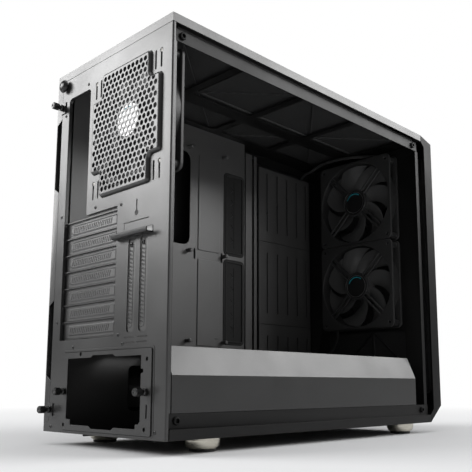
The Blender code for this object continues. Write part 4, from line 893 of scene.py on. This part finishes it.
def makeSupplyBracket():
    (left, back, base), (right, face, top) = low("supply_bracket"), high("supply_bracket")
    holes = [filleted(np.array(bracket["opening"]) * mm, 1.2 * mm, 3)]
    for side in ("left", "right"):
        holes.append(circle(*middle("supply_thumbscrew_" + side)[[0, 2]], bracket["screwHole"], 18))
    holes += [circle(across * mm, up * mm, bracket["holeRadius"], 16) for across, up in bracket["holes"]]
    holes.append(slotLoop(*bracket["slot"]))
    outline = filleted(rectangle(left, base, right, top), 2 * mm)
    standsFor("supply_bracket", plate("y", outline, back, face, holes, 0.25 * mm), looks["panel"])


thumbscrew = {"head": 8.5 * mm, "knurls": 18, "collar": 1.2 * mm}


def makeThumbscrew(node):
    # A knurled head: its radius is r * (1.03 - 0.07 * |sin(n t)|) between two plain shoulders.
    (_, tip, _), (_, end, _) = low(node), high(node)
    across, _, up = middle(node)
    head, collar = end - thumbscrew["head"], tip + thumbscrew["collar"]
    profile = [(0, tip), *profileFrom(tip, (1.9, 0.1), (1.55, 0.45), (1.9, 0.8))]
    profile += profileFrom(collar, (1.8, 0), (3.9, 0.05), (4.1, 0.4), (4.1, 3.4), (3.8, 3.8), (2.5, 3.9))
    profile += profileFrom(head, (2.5, -0.1), (3.6, 0), (4.1, 0.5))
    profile += profileFrom(head, (4.2, 1.0), (4.2, 1.05), (4.2, 3.0), (4.2, 5.0), (4.2, 7.4), (4.2, 7.45))
    profile += profileFrom(end, (4.0, -0.5), (3.5, 0), (1.6, 0), (1.2, -0.4), (0, -1.6))

    def knurl(radius, along, turn):
        worked = (along > head + 1.02 * mm) & (along < head + 7.42 * mm)
        return radius * (1 + worked * (0.03 - 0.07 * abs(np.sin(turn * thumbscrew["knurls"]))))

    shape = turnedShape(profile, "y", (across, 0, up), 144, knurl)
    standsFor(node, shape, looks["screw"], 40)


release = {"radius": 8.2 * mm, "foot": 3 * mm}


def makeReleaseButton():
    # A stem with a collar under a dome: its radius is r * cos(angle) and its height rises as sin(angle).
    node = "release_button"
    (_, back, _), (_, end, _) = low(node), high(node)
    across, _, up = middle(node)
    foot = at["rear"] + release["foot"]
    edge, radius = foot + 0.6 * mm, release["radius"]
    dome = np.radians(np.linspace(8, 88, 12))
    profile = [(0, back), *profileFrom(back, (3.7, 0), (3.7, 0.9), (2.9, 1.0)), (2.9 * mm, foot)]
    profile += [(radius - 0.5 * mm, foot), (radius, foot + 0.4 * mm)]
    profile += [(radius * math.cos(turn), edge + (end - edge) * math.sin(turn)) for turn in dome]
    profile.append((0, end))
    standsFor(node, turnedShape(profile, "y", (across, 0, up), 64), looks["gloss"], 40)


def makeClamp():
    # The folded bar over the upright slots, with a lip along its foot.
    (left, back, base), (right, face, top) = low("slot_clamp"), high("slot_clamp")
    path = [(back, top), (back, base), (face, base), (face, base + 4 * mm)]
    bar = foldedSheet("x", path, 1.2 * mm, (left, right), -at["sheet"], edge=0.2 * mm)
    standsFor("slot_clamp", bar, looks["screw"])


makeRearPanel()
makeRearScrews()
makeGrille()
for index in range(slots["count"]):
    makeSlotCover(f"slot_cover_{index + 1}")
makeUprightCovers()
makeSupplyBracket()
for screw in ("side_thumbscrew_lower", "side_thumbscrew_upper"):
    makeThumbscrew(screw)
for screw in ("supply_thumbscrew_left", "supply_thumbscrew_right"):
    makeThumbscrew(screw)
makeReleaseButton()
makeClamp()
print("rear made")


# Fans

def makeFan(name):
    # Two flanges and a tube round the bore, with doubled diagonal struts that carry the motor.
    frame = name + "_frame"
    x, _, z = middle(frame)
    back, face = low(frame)[1], high(frame)[1]
    half, reach, bore, flange = fanSize["half"], fanSize["holes"], fanSize["bore"], fanSize["flange"]
    outline = filleted(rectangle(x - half, z - half, x + half, z + half), fanSize["corner"], 6)
    corners = [(x + side * reach, z + end * reach) for side in (-1, 1) for end in (-1, 1)]
    holes = [circle(*corner, fanSize["holeRadius"], 16) for corner in corners]
    boreLoop = circle(x, z, bore, 96)
    shapes = [plate("y", outline, back, back + flange, [boreLoop, *holes], 0.5 * mm)]
    shapes.append(plate("y", outline, face - flange, face, [boreLoop, *holes], 0.5 * mm))
    start, end = back + flange - 0.2 * mm, face - flange + 0.2 * mm
    shapes.append(plate("y", circle(x, z, bore + fanSize["wall"], 96), start, end, [boreLoop], 0.1 * mm))
    for corner, hole in zip(corners, holes):
        shapes.append(plate("y", circle(*corner, fanSize["postRadius"], 20), start, end, [hole], 0.1 * mm))
    for turn in np.radians([45, 135, 225, 315]):
        outward = np.array([math.cos(turn), math.sin(turn)])
        side = np.array([-math.sin(turn), math.cos(turn)])
        for step in (-fanSize["strutGap"], fanSize["strutGap"]):
            ends = [np.array([x, z]) + outward * far + side * step for far in (20 * mm, bore + 0.6 * mm)]
            strut = cut(*ends, fanSize["strut"])
            shapes.append(plate("y", strut, face - fanSize["strutDepth"], face - 0.6 * mm, (), 0.6 * mm))
    hub = fanSize["hub"]
    motor = [(0, face - 4.4 * mm), (hub, face - 4.4 * mm), (hub, face - 1 * mm)]
    motor += [(hub - 0.8 * mm, face - 0.3 * mm), (hub - 2 * mm, face - 0.3 * mm)]
    motor += [(hub - 2.4 * mm, face - 0.8 * mm), (0, face - 0.8 * mm)]
    shapes.append(turnedShape(motor, "y", (x, 0, z), 64))
    standsFor(frame, joined(shapes), looks["fan"])
    makeLabel(name, x, face - 0.8 * mm, z, hub - 3 * mm)
    makeRotor(name, x, z)


def makeLabel(name, x, seat, z, radius):
    # A dark disc with a thin silver ring and a plain arc of cyan.
    body, slot = bodyOf[name + "_frame"], slotOf[name + "_frame"]
    disc = plate("y", circle(x, z, radius, 64), seat - 0.1 * mm, seat + 0.12 * mm, (), 0.03 * mm)
    settle(name + "_label", disc, looks["label" if name != "rear_fan" else "silver"], body, slot)
    ring = rim("y", circle(x, z, radius - 1.4 * mm, 64), profileFrom(seat, (0, 0.1), (0.5, 0.16), (1, 0.1)))
    settle(name + "_label_ring", ring, looks["silver"], body, slot)
    turn = np.radians(np.linspace(20, 130, 24))
    arc = [(radius - 4 * mm, turn), (radius - 5.6 * mm, turn[::-1])]
    arc = np.concatenate([np.stack([x + r * np.cos(t), z + r * np.sin(t)], -1) for r, t in arc])
    arc = plate("y", arc, seat, seat + 0.18 * mm, (), 0.02 * mm)
    settle(name + "_label_arc", arc, looks["cyan"], body, slot)


blade = {
    "chord": 44,  # degrees at the root
    "taper": 4,
    "skew": 34,  # degrees from root to tip
    "camber": 1.6 * mm,
    "thin": 0.8 * mm,
    "sunk": 0.8 * mm,  # how far the root goes into the hub
}


def makeRotor(name, x, z):
    # Each blade is a skewed sheet. With s from root to tip and t across the chord, its angle is
    # skew * s^1.4 + chord * (t - 0.5) and its height is rise * (0.9 - 0.25 s) * (0.5 - t), plus a camber of
    # c * (1 - (2 t - 1)^2). Half its thickness is h * (1 - 0.5 * (2 t - 1)^2).
    node = name + "_rotor"
    back, face = low(node)[1], high(node)[1]
    root = fanSize["hubTurn"]
    inner = root - blade["sunk"]
    s, t = np.meshgrid(np.linspace(0, 1, 15), np.linspace(0, 1, 11), indexing="ij")
    radius = inner + (fanSize["tip"] - inner) * s
    chord = np.radians(blade["chord"]) - np.radians(blade["taper"]) * s
    rise = (face - back - 4 * mm) * (0.9 - 0.25 * s)
    height = (back + face) / 2 + rise * (0.5 - t) + blade["camber"] * (1 - (2 * t - 1) ** 2)
    thin = blade["thin"] * (1 - 0.5 * (2 * t - 1) ** 2)
    dome = [(0, back), (root - 1.5 * mm, back), (root, back + 1.5 * mm), (root, face), (0, face)]
    shapes = [turnedShape(dome, "y", (x, 0, z), 64)]
    for index in range(fanSize["blades"]):
        start = 2 * math.pi * index / fanSize["blades"]
        turn = start + np.radians(blade["skew"]) * s**1.4 + chord * (t - 0.5)
        across, up = x + radius * np.cos(turn), z + radius * np.sin(turn)
        front, rearward = (placed("y", across, up, height + side * thin) for side in (1, -1))
        shapes.append(closedSheet(np.concatenate([front, rearward[:, ::-1]], 1)))
    standsFor(node, joined(shapes), looks["blade"], 40)


def closedSheet(loops):
    # Rows of points that each go round a flat loop, with both end rows filled in by quads.
    points, quads, tris = gridShape(loops, wrapColumns=True)
    rows, columns = loops.shape[:2]
    strip = np.arange(columns // 2 - 1)
    cap = np.stack([strip, strip + 1, columns - 2 - strip, columns - 1 - strip], -1)
    quads = np.concatenate([quads, cap[:, ::-1], cap + (rows - 1) * columns])
    return outwards((points, quads, tris))


# Interior

grommet = {
    "corner": 7 * mm,
    # The rim, as insets from the outline and heights above its back
    "rim": [
        (0, 1.9), (0, 1.3), (0.5, 0.9), (2.6, 0.8), (3.0, 0.4),
        (4.6, 0.0), (5.2, 0.3), (5.6, 1.6), (5.6, 2.6), (1.6, 2.6),
    ],
    "lip": [(1.6, 2.2), (5.2, 3.4), (5.2, 4.6), (1.6, 4.6)],
    "membrane": (1.7 * mm, 2.5 * mm),
    "tear": 20 * mm,
}


def makeGrommet(node):
    # A stepped rim of soft rubber round a thin membrane that is slit along its middle.
    (back, left, base), (_, right, top) = low(node), high(node)
    loop = filleted(rectangle(left, base, right, top), grommet["corner"], 6)
    shapes = [rim("x", loop, profileFrom(back, *grommet[part])) for part in ("rim", "lip")]
    centre = (left + right) / 2
    slits = [cut((centre, base + 12 * mm), (centre, top - 12 * mm), 0.7 * mm)]
    near, far = centre + 1.4 * mm, centre + 7 * mm
    for up in np.arange(base + 24 * mm, top - 20 * mm, grommet["tear"]):
        slits += [cut((near, up), (far, up + rise), 0.6 * mm) for rise in (5 * mm, -5 * mm)]
    start, end = grommet["membrane"]
    shapes.append(plate("x", inset(loop, 5.2 * mm), back + start, back + end, slits, 0.1 * mm))
    standsFor(node, joined(shapes), looks["rubber"])


def makeFoot(place):
    # A turned cup on a rubber pad: its radius grows as a quarter of an ellipse from the pad to the floor pan.
    node = "foot_" + place
    (start, _, base), (stop, _, top) = low(node), high(node)
    centre = middle(node) * (1, 1, 0)
    wide = (stop - start) / 2
    narrow = wide - 4.5 * mm
    rise = np.linspace(0, 1, 10)
    curve = narrow + (wide - narrow) * np.sqrt(1 - (1 - rise) ** 2) - 0.15 * mm
    profile = [(0, base), (narrow - 0.4 * mm, base)]
    profile += list(zip(curve, base + 0.3 * mm + (top - base - 2.2 * mm) * rise))
    profile += [(wide, top - 1.7 * mm), (wide, top - 0.3 * mm), (wide - 0.3 * mm, top), (0, top)]
    standsFor(node, turnedShape(profile, "z", centre, 96), looks["nickel"], 40)
    node = "foot_pad_" + place
    (start, _, base), (stop, _, top) = low(node), high(node)
    wide = (stop - start) / 2
    raised = base + 0.4 * mm
    profile = [(0, raised), (wide - 5 * mm, raised), (wide - 4.6 * mm, base), (wide - 0.6 * mm, base)]
    profile += [(wide, base + 0.6 * mm), (wide, top - 0.2 * mm), (wide - 0.2 * mm, top), (0, top)]
    standsFor(node, turnedShape(profile, "z", centre, 72), looks["rubber"], 40)


def makeTopScrews():
    places = [(across * mm, 459.7 * mm) for across in (98, 0.7, -94)]
    heads = screws("y", places, at["rear"] - 0.6 * mm, 1.9 * mm, 0.6 * mm)
    settle("top_panel_screws", heads, looks["screw"], "top_panel", slotOf["top_panel"])


# The leads of the front fans: each has its radius and the points that it runs through, in millimetres
leads = {
    "fan_lead_upper": (2.2, [
        (-44.5, -228.2, 443.2), (-30.5, -224.2, 444.2), (-9.5, -213.2, 445.6), (23.5, -206.2, 446.6),
        (55.5, -206.2, 445), (80.5, -214.2, 442), (102, -220.2, 441.4), (110.6, -220.2, 434),
        (111.1, -208.2, 414), (110.6, -168.2, 380), (110.6, -118.2, 350), (110.6, -66, 320),
        (109.6, -44, 300), (105, -6, 280), (101, 71.3, 230), (98, 87.3, 224),
        (97, 99, 224),
    ]),
    "fan_lead_lower": (1.8, [
        (40.5, -226.2, 159.2), (40.5, -226.2, 151.5), (43.5, -225.2, 137.5), (52.5, -222.2, 123.5),
        (66.5, -216.2, 115), (80.5, -204.2, 113), (88.5, -178.2, 112.6), (90.5, -128.2, 112.6),
        (92.5, -92.2, 113), (110, -90, 118), (111.6, -72, 132), (110.6, -44, 152),
        (105, -6, 192), (99, 85.3, 204), (97, 99, 204),
    ]),
}


def makeLead(node, radius, stops):
    # A tube along Catmull-Rom curves: between two stops p and q, with b before and a after, the point at t is
    # p + (q - b) t / 2 + (2 b - 5 p + 4 q - a) t^2 / 2 + (3 p - b - 3 q + a) t^3 / 2.
    stops, radius, sides = np.array(stops) * mm, radius * mm, 16
    stops = np.concatenate([[2 * stops[0] - stops[1]], stops, [2 * stops[-1] - stops[-2]]])
    b, p, q, a = (stops[first:len(stops) - 3 + first, None] for first in range(4))
    t = np.linspace(0, 1, 14, endpoint=False)[:, None]
    square, cube = (2 * b - 5 * p + 4 * q - a) * t**2, (3 * p - b - 3 * q + a) * t**3
    path = ((2 * p + (q - b) * t + square + cube) / 2).reshape(-1, 3)
    path = np.concatenate([path, stops[-2:-1]])
    along = np.gradient(path, axis=0)
    along /= np.linalg.norm(along, axis=1, keepdims=True)
    side = np.cross(along, (0.31, 0.52, 0.8))
    side /= np.linalg.norm(side, axis=1, keepdims=True)
    up = np.cross(along, side)
    turn = np.linspace(0, 2 * np.pi, sides, endpoint=False)[None, :, None]
    rings = path[:, None] + radius * (np.cos(turn) * side[:, None] + np.sin(turn) * up[:, None])
    points, quads, _ = gridShape(rings, wrapColumns=True)
    step, last = np.arange(1, sides - 1), len(points) - sides
    nearEnd = np.stack([step + 1, step, 0 * step], -1)
    farEnd = np.stack([0 * step, step, step + 1], -1) + last
    tube = outwards(shapeOf(points, quads, np.concatenate([nearEnd, farEnd])))
    piece = standsFor(node, tube, looks["rubber"], 60)
    exitPoint = tuple(path[0])


for fanName in fanMiddle:
    makeFan(fanName)
makeGrommet("grommet_lower")
makeGrommet("grommet_upper")
for place in ("rear_left", "rear_right", "front_left", "front_right"):
    makeFoot(place)
makeTopScrews()
for lead, (radius, stops) in leads.items():
    makeLead(lead, radius, stops)
print("fans, grommets, feet and leads made")


# Every node that no finer piece stands for is its CAD solid with eased edges
def finishNodes():
    bySlot = {
        "chassis_steel": "frame", "panel_steel": "panel", "tray_steel": "tray", "shroud_steel": "shroud",
        "cover_steel": "cover", "moulded_plastic": "moulded", "mesh_plastic": "weave", "rubber": "rubber",
        "foot_metal": "nickel", "screw_black": "screw", "fan_frame": "fan", "fan_blades": "blade",
        "lead": "rubber",
    }
    for node, piece in nodes.items():
        if not piece.hide_render:
            eased(node, looks[bySlot[slotOf[node]]])


finishNodes()
print("plain nodes finished")


# Floor, lights and camera

studio = {
    "floorRadius": 9.0,
    "floorColour": (0.86, 0.865, 0.875, 1),
    "keyPower": 60.0,
    "rearPower": 62.0,
    "topPower": 18.0,
    "worldStrength": 0.2,
    "camera": (-0.6486, 0.6877, 0.0685),
    "azimuth": 223.96,
    "elevation": -8.80,
    "lens": 51.96,
    "shift": (-0.0394, 0.0945),
}


def aim(thing, where, target):
    thing.location = where
    thing.rotation_euler = (Vector(target) - Vector(where)).to_track_quat("-Z", "Y").to_euler()


def softbox(name, where, target, size, power, colour=(1, 1, 1)):
    lamp = bpy.data.lights.new(name, "AREA")
    lamp.shape = "RECTANGLE"
    lamp.size, lamp.size_y = size
    lamp.energy = power
    lamp.color = colour
    holder = bpy.data.objects.new(name, lamp)
    bpy.context.scene.collection.objects.link(holder)
    aim(holder, where, target)


def makeStudio():
    radius = np.linspace(0, 1, 40)[:, None] ** 2 * studio["floorRadius"]
    turn = np.linspace(0, 2 * np.pi, 96, endpoint=False)
    rings = placed("z", radius[1:] * np.cos(turn), radius[1:] * np.sin(turn), -0.0002)
    points, quads, _ = gridShape(rings, wrapColumns=True)
    mesh = bpy.data.meshes.new("studio_floor")
    inner = [list(range(len(turn)))]
    mesh.from_pydata(points.tolist(), [], quads[:, ::-1].tolist() + inner)
    shader = Shader("studio_floor", studio["floorColour"][:3], 0.9, 0.0, Specular_IOR_Level=0.1)
    # Away from the middle the floor runs into the white of the backdrop for the camera.
    distance = shader.node("ShaderNodeVectorMath", {"operation": "LENGTH"}, {0: shader.place()}, 1)
    share = shader.spread(distance, 0.4, 1.5, 0.0, 1.0) * shader.node("ShaderNodeLightPath")
    white = shader.node("ShaderNodeEmission")
    mixed = shader.node("ShaderNodeMixShader", {}, {0: share, 2: white})
    shader.tree.links.new(shader.surface.outputs[0], mixed.socket.node.inputs[1])
    shader.tree.links.new(mixed.socket, shader.tree.nodes["Material Output"].inputs["Surface"])
    mesh.materials.append(shader.material)
    floor = bpy.data.objects.new("studio_floor", mesh)
    bpy.context.scene.collection.objects.link(floor)
    world = bpy.data.worlds.new("studio")
    world.use_nodes = True
    bpy.context.scene.world = world
    tree = world.node_tree
    rays = tree.nodes.new("ShaderNodeLightPath")
    backdrop = tree.nodes.new("ShaderNodeBackground")
    backdrop.inputs["Strength"].default_value = 1.0
    ambient = tree.nodes["Background"]
    ambient.inputs["Color"].default_value = (1, 1, 1, 1)
    backdrop.inputs["Color"].default_value = (1, 1, 1, 1)
    ambient.inputs["Strength"].default_value = studio["worldStrength"]
    mix = tree.nodes.new("ShaderNodeMixShader")
    tree.links.new(rays.outputs["Is Camera Ray"], mix.inputs[0])
    tree.links.new(ambient.outputs[0], mix.inputs[1])
    tree.links.new(backdrop.outputs[0], mix.inputs[2])
    tree.links.new(mix.outputs[0], tree.nodes["World Output"].inputs["Surface"])
    softbox("key_softbox", (-1.8, -2.1, 1.75), (0, 0, 0.25), (2.6, 1.3), studio["keyPower"])
    softbox("rear_softbox", (1.7, 2.1, 1.45), (0, 0.2, 0.3), (2.2, 1.1), studio["rearPower"])
    softbox("top_softbox", (-0.4, 0.2, 2.4), (0, 0, 0.2), (2.0, 2.0), studio["topPower"])


def makeCamera():
    lens = bpy.data.cameras.new("camera")
    lens.lens = studio["lens"]
    lens.shift_x, lens.shift_y = studio["shift"]
    lens.clip_start, lens.clip_end = 0.05, 60
    camera = bpy.data.objects.new("camera", lens)
    bpy.context.scene.collection.objects.link(camera)
    turn, rise = math.radians(studio["azimuth"]), math.radians(studio["elevation"])
    back = Vector((math.sin(turn) * math.cos(rise), -math.cos(turn) * math.cos(rise), math.sin(rise)))
    camera.location = studio["camera"]
    camera.rotation_euler = (-back).to_track_quat("-Z", "Y").to_euler()
    bpy.context.scene.camera = camera


makeStudio()
makeCamera()
bpy.context.scene.view_settings.view_transform = "Standard"
print("studio made")
